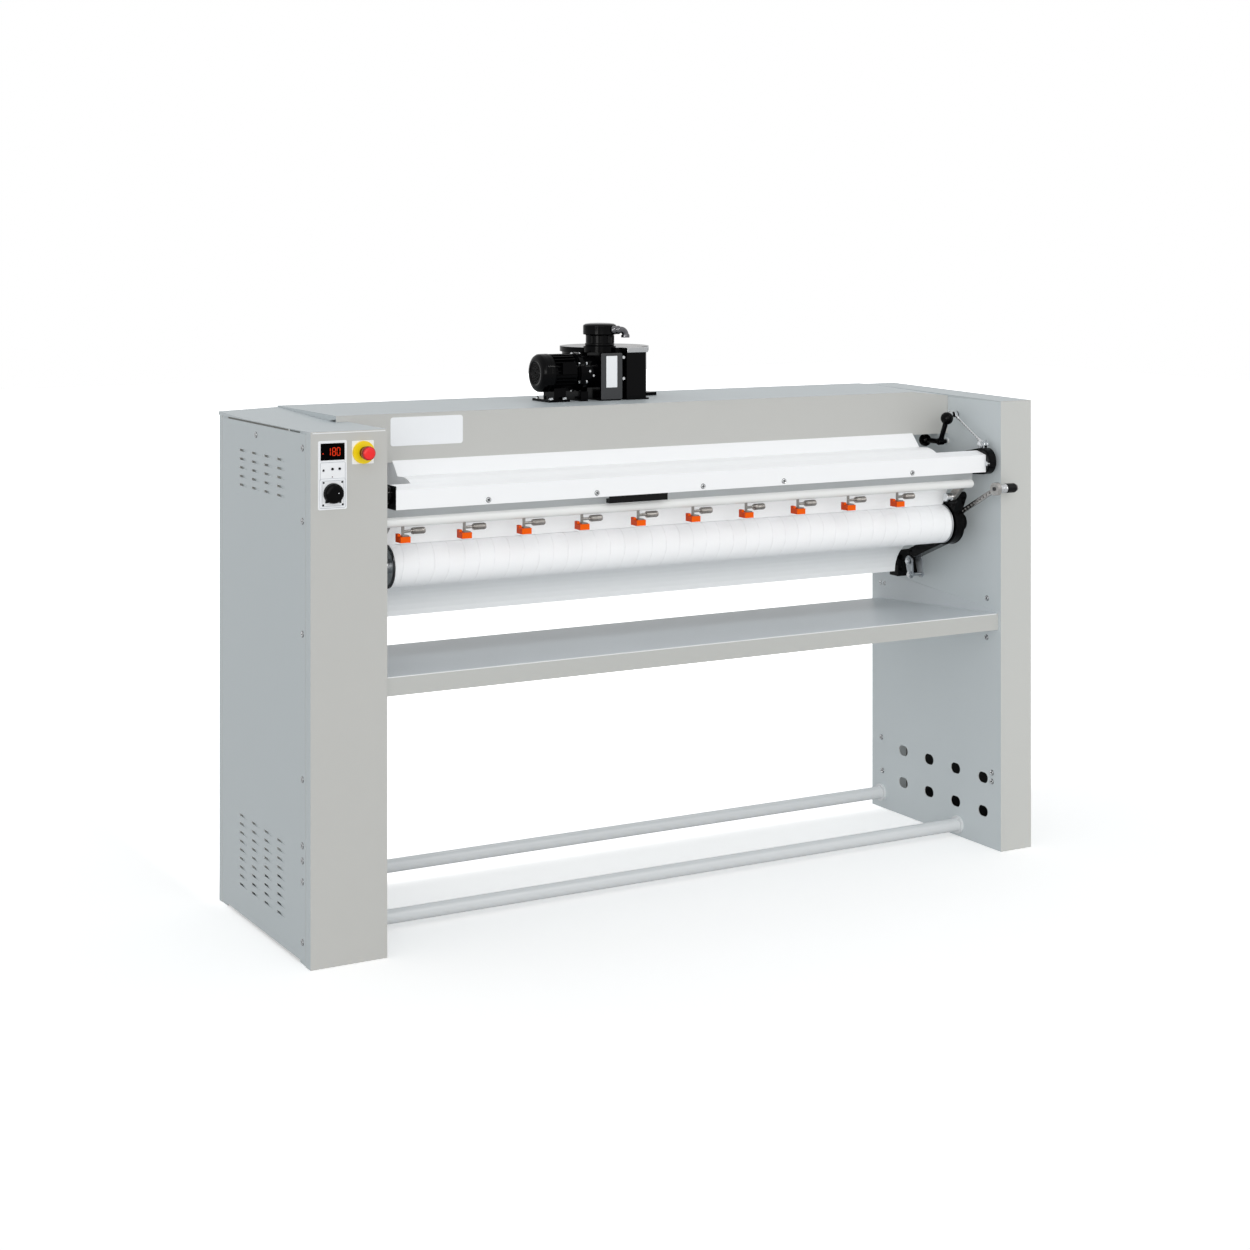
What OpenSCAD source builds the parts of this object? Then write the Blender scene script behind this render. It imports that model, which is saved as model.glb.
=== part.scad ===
// Wall flatwork ironer: two sheet-metal cabinets carry a padded roll, a heated shoe that presses
// on it, a guard bar with strip clips, a folding shelf, a top beam and a vapour pump.
// Millimetres, +X to the operator's right, +Y to the wall, +Z up, origin under the middle on the floor.

/* [Cabinets] */
// Overall width over both cabinets
machine_w = 1800; // [1500:10:2300]
// Depth of the cabinets
machine_d = 540; // [520:5:640]
// Height of the cabinets
machine_h = 1050; // [980:5:1120]
// Width of the left cabinet, which holds the drive
left_w = 162; // [155:1:200]
// Width of the right cabinet
right_w = 90; // [80:1:140]
// Sheet thickness of shells, covers and panels
sheet_t = 1.5; // [1:0.1:2]
// Width of the front flange that frames each side panel
flange_w = 25; // [20:1:35]
// Outer corner radius of the rear cabinet edges
corner_r = 6; // [3:0.5:9]
// Gap left round a side panel
panel_gap = 1.5; // [1:0.1:3]
// Shadow gap between a side panel and the top cover
top_gap = 4; // [2:0.5:7]
// Height of the base trays
base_h = 40; // [30:1:60]

/* [Vents and holes] */
// Length of one vent slot
vent_l = 46; // [30:1:55]
// Height of one vent slot
vent_h = 5; // [3:0.5:8]
// Pitch of the vent rows
vent_pitch = 18.2; // [14:0.1:22]
// Pitch of the vent columns
vent_column_pitch = 74; // [62:1:80]
// Rows in the upper vent field
upper_rows = 5; // [3:1:6]
// Rows in the lower vent field
lower_rows = 9; // [6:1:10]
// Height of the ventilation holes in the right cabinet
vent_hole_h = 25; // [15:1:32]
// Length of those holes along the depth
vent_hole_l = 35; // [32:1:44]
// Pitch of those holes along the depth
vent_hole_pitch = 104; // [90:1:112]
// Pitch of those holes in height
vent_hole_rise = 79; // [60:1:100]
// Diameter of a screw head
screw_head_d = 12; // [8:0.5:14]
// Height of a screw head
screw_head_h = 2.4; // [1.5:0.1:3]
// Diameter of a screw shank
screw_d = 4; // [3:0.5:5]

/* [Beam] */
// Distance from the cabinet front to the beam front
beam_setback = 200; // [190:1:220]
// Height of the beam's front sheet under the cabinet tops
beam_h = 89; // [80:1:92]
// How far the lid stands above the cabinet tops
lid_rise = 13; // [8:1:20]
// Length of the sloping stretch at the right end of the lid
lid_slope_l = 105; // [60:5:160]
// Rise of the right cabinet's cover from front to rear
cover_rise = 11; // [4:1:12]
// Width of the square tubes inside the beam
frame_tube_w = 40; // [30:1:45]
// Height of the rear panel under the beam
rear_panel_h = 339; // [321:1:343]

/* [Shelf and floor tubes] */
// Depth of the shelf's front edge below the beam
shelf_front_drop = 407; // [391:1:416]
// Depth of the shelf's rear edge below the beam
shelf_rear_drop = 435; // [421:1:446]
// Height of the front lip of the shelf
shelf_lip = 38; // [25:1:50]
// Height of the shelf's end cheeks at the rear
cheek_rise = 70; // [40:1:80]
// Diameter of the floor tubes
floor_tube_d = 30; // [24:1:34]
// Height of the front floor tube's axis
front_tube_z = 28; // [26:1:60]
// Height of the rear floor tube's axis
rear_tube_z = 38; // [28:1:70]

/* [Roll] */
// Distance from the cabinet front to the roll axis
roll_setback = 133; // [130:0.5:136]
// Depth of the roll axis below the beam
roll_drop = 205; // [202:0.5:208]
// Outer diameter of the padded roll
roll_d = 92; // [86:0.5:93]
// Thickness of the padding
padding_t = 6; // [4:0.5:9]
// Wall of the roll tube
roll_wall = 3; // [2:0.5:5]
// Gap between the left cabinet and the padding
roll_gap_l = 56; // [46:1:74]
// Gap between the padding and the right cabinet
roll_gap_r = 72; // [70:1:84]
// Diameter of the roll journals
journal_d = 30; // [24:1:34]
// Running clearance of shafts and pins in their bores, on radius
running = 0.05; // [0.02:0.01:0.09]

/* [Shoe] */
// Distance from the cabinet front to the shoe's swing axis
shoe_pivot_setback = 330; // [320:1:345]
// Depth of the shoe's swing axis below the beam
shoe_pivot_drop = 111; // [101:1:121]
// Gap between the shoe and the padding
shoe_gap = 0.6; // [0.4:0.1:2]
// Thickness of the heated plate
shoe_t = 12; // [8:1:15]
// Distance from the cabinet front to the front cover
cover_setback = 18; // [12:1:22]
// Depth of the front cover's lower edge below the beam
cover_drop = 76; // [71:1:79]
// Height of the front cover's face
cover_h = 40; // [34:1:44]
// Depth of the front cover
cover_d = 32; // [26:1:36]
// Thickness of the cast end plates
end_plate_t = 18; // [14:1:18]
// Radius of the rounded front of the end plates
end_plate_r = 31; // [26:0.5:32]
// Diameter of the shoe's hinge pins
hinge_pin_d = 12; // [8:1:14]

/* [Guard] */
// Diameter of the guard tube
guard_tube_d = 20; // [16:1:22]
// Distance from the cabinet front to the guard tube axis
guard_setback = 45; // [42:1:47]
// Depth of the guard tube axis below the beam
guard_drop = 104; // [102:1:107]
// Number of strip clips
clip_count = 10; // [6:1:12]
// Width of a clip
clip_w = 22; // [16:1:26]
// Height of a clip
clip_h = 12; // [8:1:14]
// Depth of a clip
clip_l = 26; // [18:1:28]

/* [Levers] */
// Diameter of the black balls on the lifting lever
ball_d = 30; // [26:1:34]
// Diameter of the lifting lever's arms
lever_rod_d = 12; // [8:1:13]
// Distance by which the hand lever's knuckle stands in front of the cabinets
lever_reach = 40; // [36:1:44]
// Diameter of the hand lever's hub
hub_d = 41; // [36:1:42]
// Diameter of the hand lever's grip
grip_d = 22; // [18:1:24]
// Length of the hand lever's grip
grip_l = 27; // [22:1:36]

/* [Controls] */
// Width of the control plate
plate_w = 60; // [56:1:66]
// Height of the control plate
plate_h = 135; // [132:1:140]
// Diameter of the rotary knob
knob_d = 41; // [34:1:44]
// Diameter of the stop button's head
stop_d = 28; // [26:1:32]
// Travel of the stop button
stop_travel = 4; // [3:0.5:5]
// Diameter of the small keys
key_d = 5; // [4:0.5:7]

/* [Pump] */
// Distance from the left cabinet to the fan cover of the pump motor
pump_offset = 514; // [300:1:700]
// Diameter of the pump motor
motor_d = 86; // [76:1:92]
// Length of the fan cover
fan_cover_l = 30; // [26:1:50]
// Length of the finned motor body
motor_l = 64; // [56:1:90]
// Number of cooling fins
fin_count = 26; // [16:1:32]
// Width of the pump body's front block
pump_w = 52; // [46:1:60]
// Length of the round neck between the motor's flange and that block
pump_neck = 37; // [30:1:44]
// Height of the pump body
pump_h = 108; // [100:1:118]

/* [Hidden] */
$fn = 64;
eps = 0.01;
face_gap = 0.3;

// Main planes
x_l = -machine_w / 2;
x_li = x_l + left_w;
x_r = machine_w / 2;
x_ri = x_r - right_w;
y_f = -(machine_d - lever_reach) / 2;
y_b = y_f + machine_d;
beam_y = y_f + beam_setback;
lid_top = machine_h + lid_rise;
clear_w = x_ri - x_li;
beam_z = machine_h - beam_h;
rear_panel_z = beam_z - rear_panel_h;
shelf_front_z = beam_z - shelf_front_drop;
shelf_rear_z = beam_z - shelf_rear_drop;
roll_z = beam_z - roll_drop;
shoe_pivot_z = beam_z - shoe_pivot_drop;
cover_z = beam_z - cover_drop;
guard_z = beam_z - guard_drop;

// Roll
roll_y = y_f + roll_setback;
roll_r = roll_d / 2;
tube_r = roll_r - padding_t;
journal_r = journal_d / 2;
pad_x0 = x_li + roll_gap_l;
pad_x1 = x_ri - roll_gap_r;
ring_w = 3;
arm_x0 = pad_x1 + 5;
arm_t = 26;
arm_ring_r = 50;
sprocket_x = x_l + 78;
sprocket_t = 6;
roll_sprocket_r = 58;
drive_sprocket_r = 29;
drive_dy = 110;
drive_dz = -190;
drive_y = roll_y + drive_dy;
drive_z = roll_z + drive_dz;
chain_gap = 0.5;
chain_t = 5;

// Shoe
pivot_y = y_f + shoe_pivot_setback;
cover_y = y_f + cover_setback;
cover_x0 = x_li + 27;
cover_x1 = x_ri - 30;
end_plate_z = beam_z - 52;
end_plate_y = y_f + 35;
left_plate_x = x_li + 12;
left_plate_t = 14;
left_nose_r = 18;
plate_gap = 2;
shoe_x0 = x_li + 34;
shoe_x1 = pad_x1 - 4;
shoe_in = roll_r + shoe_gap;
shoe_out = shoe_in + shoe_t;
shoe_front_a = 103;
shoe_rear_a = 30;
lip_t = 3;
lip_y = y_f + 98;
lip_z = beam_z - 111;
bridge_y = y_f + 68;
bridge_w = 42;
bridge_h = 34;
bridge_z = lip_z;
grip_bar_x = 516;
grip_bar_l = 142;
nut_y = y_f + 12;
nut_z = end_plate_z - 4;

// Lift linkage, at rest
lift_y = y_f + 169;
lift_z = beam_z - 16;
crank_pin_dy = -20;
crank_pin_dz = 65;
clevis_y = y_f + 39;
clevis_z = beam_z - 13;
link_pin_r = 3;
link_eye_r = 6.5;
link_slack = 1.4;
end_x1 = x_ri - 10;
end_x0 = end_x1 - end_plate_t;
handle_x = x_ri - 46;
link_mid = end_x0 + end_plate_t / 2;
shaft_r = 5;
lug_x = handle_x + 16;

// Guard
guard_r = guard_tube_d / 2;
guard_y = y_f + guard_setback;
guard_pivot_y = y_f + 85;
guard_pivot_z = beam_z - 137;
guard_pin_r = 4;
guard_head_r = 8;
guard_arm_t = 11;
guard_x1 = x_ri - 50;
guard_x0 = x_li + 8;
clip_first = x_li + 51;
clip_last = x_ri - 269;
clip_top = beam_z - 132;
clip_front = y_f + 26;

// Hand lever
knuckle_r = 15;
knuckle_y = y_f - lever_reach + knuckle_r;
knuckle_z = beam_z - 111;
bar_x = x_ri - 37;
bar_t = 5;
bar_w = 11;
hub_x0 = bar_x + bar_t + 1;
hub_l = 20;
hub_flange_r = 22;
hub_shaft_r = 10;
hub_pin_y = roll_y - 12;
hub_pin_z = roll_z + 18;
spindle_r = 5;

// Controls
plate_t = 1.5;
plate_x = x_l + 45.3;
plate_z = machine_h - 85.5;
display_w = 50;
display_h = 33;
display_z = machine_h - 39.5;
switch_z = machine_h - 121;
switch_w = 50;
key_z = machine_h - 73.5;
key_x = [plate_x - 0.5, plate_x + 14.5];
stop_x = x_l + 109.5;
stop_z = machine_h - 43.5;
stop_plate_w = 46;
stop_ring_r = 22.5;
stop_stem_r = 8;

// Pump
pump_x = x_li + pump_offset;
pump_y = (beam_y + y_b) / 2 - 10;
motor_r = motor_d / 2;
motor_z = lid_top + motor_r + 21;
flange_x = pump_x + fan_cover_l + motor_l + face_gap;
flange_t = 10;
body_x = flange_x + flange_t;
block_x = body_x + pump_neck - 1;
box_x = block_x + pump_w + 15;
box_l = 50;
cap_r = 38;
drum_r = 98;
drum_x = pump_x + 218;
drum_y = pump_y + 75;
rotor_r = 7;

// Places a YZ outline and extrudes it along X, from x0 over a length
module along_x(x0, len) {
    translate([x0, 0, 0]) rotate([90, 0, 90]) linear_extrude(len) children();
}

// Places an XZ outline and extrudes it along Y, from y0 over a length
module along_y(y0, len) {
    translate([0, y0 + len, 0]) rotate([90, 0, 0]) linear_extrude(len) children();
}

// Round bar along X
module rod_x(x0, y, z, len, r) {
    translate([x0, y, z]) rotate([0, 90, 0]) cylinder(h = len, r = r);
}

// Round bar along Y
module rod_y(x, y0, z, len, r) {
    translate([x, y0, z]) rotate([-90, 0, 0]) cylinder(h = len, r = r);
}

// Flat web between two circles, with true arcs at both ends
module web(p, rp, q, rq) {
    d = norm(q - p);
    lean = acos((rp - rq) / d);
    dir = atan2(q[1] - p[1], q[0] - p[0]);
    a = dir + lean;
    b = dir - lean;
    translate(p) circle(rp);
    translate(q) circle(rq);
    polygon([p + rp * [cos(a), sin(a)], q + rq * [cos(a), sin(a)],
        q + rq * [cos(b), sin(b)], p + rp * [cos(b), sin(b)]]);
}

// Rectangle with true round corners, centred
module round_rect(w, h, r) {
    square([w - 2 * r, h], center = true);
    square([w, h - 2 * r], center = true);
    for (sx = [-1, 1], sy = [-1, 1])
        translate([sx * (w / 2 - r), sy * (h / 2 - r)]) circle(r);
}

// Slot with round ends, centred, lying along its first direction
module slot(len, h) {
    square([len - h, h], center = true);
    for (s = [-1, 1]) translate([s * (len - h) / 2, 0]) circle(d = h, $fn = 24);
}

// Plan of a cabinet's folded sheet: a box open towards side, with a front and a rear flange
rear_flange = 22;
lip_w = 44;
module shell_plan(w, side) {
    difference() {
        union() {
            translate([0, corner_r]) square([w, machine_d - 2 * corner_r]);
            square([w, corner_r]);
            translate([corner_r, machine_d - corner_r]) square([w - 2 * corner_r, corner_r]);
            for (x = [corner_r, w - corner_r]) translate([x, machine_d - corner_r]) circle(corner_r);
        }
        translate([sheet_t, sheet_t]) square([w - 2 * sheet_t, machine_d - 2 * sheet_t]);
        translate([side > 0 ? w - 2 * sheet_t : -sheet_t, flange_w])
            square([3 * sheet_t, machine_d - flange_w - rear_flange]);
    }
}

// Lips behind the front and the rear flange, which the side panel lies against
module lips(x) {
    for (y = [flange_w - 10, machine_d - rear_flange - lip_w + 10])
        translate([x, y_f + y, 0]) cube([sheet_t, lip_w, machine_h - 2]);
}

// Places of the side-panel screws, as distance from the front and height
side_screws = [for (z = [44, 163, 204, 234, 364, machine_h - 400, machine_h - 178, machine_h - 34])
    [43, z]];
panel_screw_places = concat(side_screws, [[307, machine_h - 28]]);
panel_y0 = y_f + flange_w + panel_gap;
panel_y1 = y_b - rear_flange - panel_gap;
panel_z0 = 6;
panel_z1 = machine_h - 2 - top_gap;

// Screw holes through a side panel and the lips behind it
module panel_holes(x) {
    for (p = panel_screw_places) rod_x(x - 4, y_f + p[0], p[1], 8, screw_d / 2 + running);
}

// Flat side panel whose outer face lies in the cabinet's side plane
module side_panel(x0) difference() {
    translate([x0, panel_y0, panel_z0])
        cube([sheet_t, panel_y1 - panel_y0, panel_z1 - panel_z0]);
    panel_holes(x0);
}

// Everything below a plane through a point, with slopes along X and Y
module under_plane(p, sx, sy) {
    translate(p) rotate(a = atan(norm([sx, sy])), v = [sy, -sx, 0])
        translate([-2 * machine_w, -2 * machine_w, -600]) cube([4 * machine_w, 4 * machine_w, 600]);
}

// Heights of the lid's right front corner and of the covers' rear edges
droop_z = machine_h + 2;
rear_z = machine_h + cover_rise;
lid_x0 = x_li - 28;
lid_x1 = x_ri - face_gap;
droop_sx = (droop_z - lid_top) / lid_slope_l;
droop_sy = (rear_z - droop_z) / (machine_d - beam_setback);

module left_cabinet_shell() color("silver") difference() {
    union() {
        translate([x_l, y_f, 0]) linear_extrude(machine_h - 2) shell_plan(left_w, -1);
        lips(x_l + sheet_t);
    }
    panel_holes(x_l);
    rod_x(x_li - 3, roll_y, roll_z, 6, journal_r + 8);
    for (z = [display_z, switch_z])
        translate([plate_x - 20, y_f - 1, z - 12]) cube([40, 4, 24]);
    for (x = key_x) rod_y(x, y_f - 1, key_z, 4, key_d / 2 + 1);
    rod_y(stop_x, y_f - 1, stop_z, 4, stop_stem_r + 1);
}

// The right cabinet's inner rear corner is bevelled
bevel = 31;
module right_cabinet_shell() color("silver") difference() {
    union() {
        difference() {
            translate([x_ri, y_f, 0]) linear_extrude(machine_h - 2) shell_plan(right_w, 1);
            translate([x_ri, y_b - bevel, -1]) linear_extrude(machine_h + 2)
                polygon([[-1, -1], [0, 0], [bevel, bevel], [bevel + 1, bevel + 1], [-1, bevel + 1]]);
        }
        translate([x_ri, y_b - bevel, 0]) linear_extrude(machine_h - 2)
            polygon([[0, 0], [bevel, bevel], [bevel + 1.4 * sheet_t, bevel], [0, -1.4 * sheet_t]]);
        lips(x_r - 2 * sheet_t);
    }
    panel_holes(x_r);
    for (i = [0:3], j = [0:1])
        along_x(x_ri - 2, 5)
            translate([y_f + 66 + i * vent_hole_pitch, 81 + j * vent_hole_rise])
                slot(vent_hole_l, vent_hole_h);
}

module left_side_panel() color("lightgray") difference() {
    side_panel(x_l);
    for (c = [0:3], r = [0:upper_rows - 1])
        translate([x_l, y_f + 162 + c * vent_column_pitch, machine_h - 67 - r * vent_pitch])
            rotate([90, 0, 90]) linear_extrude(8, center = true) slot(vent_l, vent_h);
    for (c = [0:3], r = [0:lower_rows - 1])
        translate([x_l, y_f + 162 + c * vent_column_pitch, 214 - r * vent_pitch])
            rotate([90, 0, 90]) linear_extrude(8, center = true) slot(vent_l, vent_h);
}

module right_side_panel() color("lightgray") side_panel(x_r - sheet_t);

// Left cover: flat in front, folded up along a diagonal towards the rear. Right cover: one slope.
module top_covers() color("silver") {
    low = machine_h - 2;
    translate([x_l, y_f, low]) cube([left_w, machine_d, 2]);
    intersection() {
        translate([x_l, beam_y, low]) cube([left_w, machine_d - beam_setback, 30]);
        under_plane([x_li, beam_y, machine_h], left_sx, left_sy);
    }
    intersection() {
        translate([x_ri, y_f, low]) cube([right_w, machine_d, 30]);
        under_plane([x_ri, y_f, machine_h], 0, cover_rise / machine_d);
    }
}

left_sy = cover_rise / (machine_d - beam_setback);
left_sx = cover_rise / 2 / left_w;

// Base tray that stiffens a cabinet and stands on the floor
module base_tray(x0, w) {
    inset = sheet_t + 16;
    translate([x0 + inset, y_f + sheet_t + face_gap, 0])
        difference() {
            cube([w - 2 * inset, machine_d - 2 * sheet_t - 2 * face_gap, base_h]);
            translate([3, 3, 3])
                cube([w - 2 * inset - 6, machine_d - 2 * sheet_t - 2 * face_gap - 6, base_h]);
        }
}

module base_trays() color("gray") {
    base_tray(x_l, left_w);
    difference() {
        base_tray(x_ri, right_w);
        translate([x_ri + bevel, y_b, -1]) rotate(45) translate([-2 * bevel, -sheet_t - face_gap, 0])
            cube([3 * bevel, bevel, base_h + 2]);
    }
}

// Pan-head screw on a face whose outward normal is dir along X
module screw_x(x, y, z, dir) {
    rod_x(dir > 0 ? x : x - screw_head_h, y, z, screw_head_h, screw_head_d / 2);
    rod_x(dir > 0 ? x - 6 : x, y, z, 6, screw_d / 2);
}

module panel_screws() color("silver") {
    for (s = panel_screw_places) {
        screw_x(x_l, y_f + s[0], s[1], -1);
        screw_x(x_r, y_f + s[0], s[1], 1);
    }
}

module beam_shell() color("silver") {
    x0 = x_li + face_gap;
    x1 = lid_x1;
    top = lid_top - sheet_t - 0.1;
    side = droop_z - sheet_t - 0.1;
    over = machine_h + face_gap;
    along_y(beam_y, sheet_t) polygon([[x0, beam_z], [x0, over], [lid_x0, over], [lid_x0, top],
        [x1 - lid_slope_l, top], [x1, side], [x1, beam_z]]);
    translate([x0, y_b - sheet_t, beam_z]) cube([x1 - x0, sheet_t, rear_z - sheet_t - 0.5 - beam_z]);
    translate([x0, beam_y + sheet_t, beam_z])
        cube([x1 - x0, y_b - beam_y - 2 * sheet_t, sheet_t]);
}

// Solid under the lid's surface, lowered by drop
module lid_solid(drop) {
    w = lid_x1 - lid_x0;
    intersection() {
        translate([lid_x0 - drop, beam_y - drop, machine_h - 20])
            cube([w + 2 * drop, y_b - beam_y + 2 * drop, lid_top - machine_h + 20 - drop]);
        under_plane([lid_x1 - lid_slope_l, beam_y, lid_top - drop], droop_sx, droop_sy);
    }
}

// Top sheet of the beam. Its left end laps over the left cover and is folded down onto it;
// the fold is cut away in a wedge at the front corner.
module beam_lid() color("silver") {
    difference() {
        lid_solid(0);
        lid_solid(sheet_t);
    }
    difference() {
        translate([lid_x0, beam_y + sheet_t + 0.1, machine_h - 5])
            cube([sheet_t, y_b - beam_y - sheet_t - 0.1, lid_rise + 5 - sheet_t / 2]);
        under_plane([x_li, beam_y, machine_h + face_gap], left_sx, left_sy);
        along_x(lid_x0 - 1, 3 * sheet_t)
            polygon([[beam_y, machine_h - 6], [beam_y, machine_h + 6], [beam_y + 86, machine_h - 6]]);
    }
}

module beam_tubes() color("gray") {
    for (y = [beam_y + 45, y_b - 65])
        translate([x_li + face_gap, y - frame_tube_w / 2, beam_z + sheet_t]) difference() {
            cube([clear_w - 2 * face_gap, frame_tube_w, frame_tube_w]);
            translate([-1, 2, 2]) cube([clear_w + 2, frame_tube_w - 4, frame_tube_w - 4]);
        }
}

module rear_panel() color("lightgray")
    translate([x_li + face_gap, y_b - sheet_t, rear_panel_z])
        cube([clear_w - 2 * face_gap, sheet_t, beam_z - rear_panel_z]);

// Floor tube with its welded end flanges
module floor_tube(y, z) {
    rod_x(x_li, y, z, clear_w, floor_tube_d / 2);
    for (x = [x_li, x_ri - 6]) rod_x(x, y, z, 6, floor_tube_d / 2 + 6);
}

module floor_tubes() color("gainsboro") {
    floor_tube(y_f + 160, front_tube_z);
    floor_tube(y_b - 70, rear_tube_z);
}

module shelf() color("silver") {
    y0 = y_f + 10;
    y1 = y_b - 60;
    x0 = x_li + face_gap;
    len = clear_w - 2 * face_gap;
    along_x(x0, len) polygon([[y0, shelf_front_z], [y1, shelf_rear_z], [y1, shelf_rear_z - 22],
        [y1 - sheet_t, shelf_rear_z - 22], [y1 - sheet_t, shelf_rear_z - sheet_t],
        [y0 + sheet_t, shelf_front_z - sheet_t], [y0 + sheet_t, shelf_front_z - shelf_lip + sheet_t],
        [y0 + 25, shelf_front_z - shelf_lip + sheet_t], [y0 + 25, shelf_front_z - shelf_lip],
        [y0, shelf_front_z - shelf_lip]]);
    for (x = [x0, x0 + len - sheet_t])
        along_x(x, sheet_t) polygon([[y0, shelf_front_z - sheet_t], [y1, shelf_rear_z - sheet_t],
            [y1, shelf_rear_z + cheek_rise], [y0 + 50, shelf_front_z + 11], [y0, shelf_front_z + 2]]);
}

// Outline of the chute: a quarter ellipse from below the roll down to a vertical skirt
chute_y = y_f + 185;
chute_rx = 115;
chute_rz = 90;
function chute_arc(inset) = [for (a = [0:8:80])
    [chute_y + (chute_rx - inset) * cos(a), rear_panel_z + (chute_rz - inset) * sin(a)]];

module chute() color("white") {
    x0 = x_li + 38;
    x1 = x_ri - 85;
    outer = chute_arc(0);
    inner = chute_arc(sheet_t);
    count = len(outer);
    along_x(x0, x1 - x0) polygon(concat(outer, [for (i = [count - 1:-1:0]) inner[i]]));
    for (x = [x0 + 40, (x0 + x1) / 2, x1 - 40])
        along_x(x, 3) polygon([outer[0], [y_b - sheet_t - face_gap, rear_panel_z + 2],
            [y_b - sheet_t - face_gap, rear_panel_z + 60], outer[3], outer[2], outer[1]]);
}

module badge_plate() color("white") along_y(beam_y - 1.5, 1.5)
    translate([x_li + 176, machine_h - 25]) round_rect(166, 60, 6);

// Outline of the hood: sloping band, ledge and rounded front, hung on the beam's front
hood_line = [[beam_y - 1.5, beam_z + 4], [beam_y - 28, beam_z - 26], [beam_y - 62, beam_z - 25],
    [beam_y - 78, beam_z - 28], [beam_y - 91, beam_z - 33], [beam_y - 100, beam_z - 38],
    [beam_y - 107, beam_z - 44]];

module hood() color("white") {
    x0 = x_li + 97;
    x1 = x_ri - 107;
    t = [0, sheet_t];
    foot = beam_z - 31;
    last = len(hood_line) - 1;
    along_x(x0, x1 - x0) polygon(concat(hood_line, [for (i = [last:-1:1]) hood_line[i] - t],
        [[beam_y - 1.5, foot], [beam_y, foot], [beam_y, beam_z + 4]]));
    for (x = [x0, x1 - sheet_t])
        along_x(x, sheet_t) polygon(concat(hood_line, [[beam_y + 40, beam_z - 50],
            [beam_y + 40, beam_z - 1], [beam_y - 1.5, beam_z - 1]]));
}

// Outline of the cast arm that holds the roll's right end, as webs between bosses
module arm_outline() {
    c = [roll_y, roll_z];
    difference() {
        union() {
            translate(c) circle(arm_ring_r);
            web(c + [-18, 26], 18, [guard_pivot_y, guard_pivot_z], 10);
            web(c + [8, -36], 14, [y_f + 262, roll_z - 88], 12);
            web([y_f + 262, roll_z - 88], 12, [y_f + 300, roll_z - 96], 12);
        }
        translate(c) circle(journal_r + 7 + running);
        translate([guard_pivot_y, guard_pivot_z]) circle(guard_pin_r + running);
    }
}

module bearing_arm() color("black") {
    along_x(arm_x0, arm_t) arm_outline();
    along_x(arm_x0 - 6, x_ri - arm_x0 + 6) difference() {
        translate([y_f + 318, roll_z - 122]) square([34, 52], center = true);
        translate([y_f + 309, roll_z - 96]) circle(7);
    }
}

// Ball bearing ring round a journal
module bearing_ring(x0, len, outer) {
    difference() {
        rod_x(x0, roll_y, roll_z, len, outer);
        rod_x(x0 - 1, roll_y, roll_z, len + 2, journal_r + running);
    }
}

module roll_bearings() color("silver") {
    bearing_ring(arm_x0 + 3, arm_t - 6, journal_r + 7);
    difference() {
        union() {
            rod_x(x_li, roll_y, roll_z, 8, journal_r + 24);
            bearing_ring(x_li + 8, 14, journal_r + 12);
        }
        rod_x(x_li - 1, roll_y, roll_z, 30, journal_r + running);
    }
}

// Link plates and bolts between the arm's tail and the bracket on the right cabinet
module arm_links() color("gray") {
    top = [y_f + 262, roll_z - 106];
    low = [y_f + 256, roll_z - 138];
    for (x = [arm_x0 - 4, arm_x0 + arm_t])
        along_x(x, 4) difference() {
            web(top, 13, low, 9);
            translate(low) circle(4);
        }
    rod_x(arm_x0 - 4, low[0], low[1], arm_t + 8, 4 - running);
    for (x = [arm_x0 - 7, arm_x0 + arm_t + 4]) {
        rod_x(x, low[0], low[1], 3, 7);
        rod_x(x, top[0] + 2, top[1] + 2, 3, 6);
    }
}

// Worm gear motor and the plate that carries it
module gear_motor() color("dimgray") {
    x = sprocket_x + sprocket_t + 6;
    w = x_li - sheet_t - 4 - x;
    difference() {
        union() {
            translate([x, drive_y - 45, drive_z - 45]) cube([w, 90, 90]);
            translate([x + w / 2, drive_y, drive_z - 45 - 150]) cylinder(h = 150, r = w / 2 - 4);
            for (i = [0:7]) translate([x + w / 2, drive_y, drive_z - 60 - i * 14])
                cylinder(h = 4, r = w / 2 - face_gap);
        }
        rod_x(x - 1, drive_y, drive_z, w - 10, 10 + running);
    }
    translate([x_li - sheet_t - 4, drive_y - 70, drive_z - 70]) cube([4, 140, 140]);
}

// Point on a circle
function on_circle(c, r, a) = c + r * [cos(a), sin(a)];

// Half ring round c between angles a and b, kept on the side away from the wedge points
module belt_arc(c, r, t, wedge) {
    difference() {
        translate(c) circle(r + t);
        translate(c) circle(r);
        polygon(concat([c], [for (a = wedge) on_circle(c, 2 * (r + t), a)]));
    }
}

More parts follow.
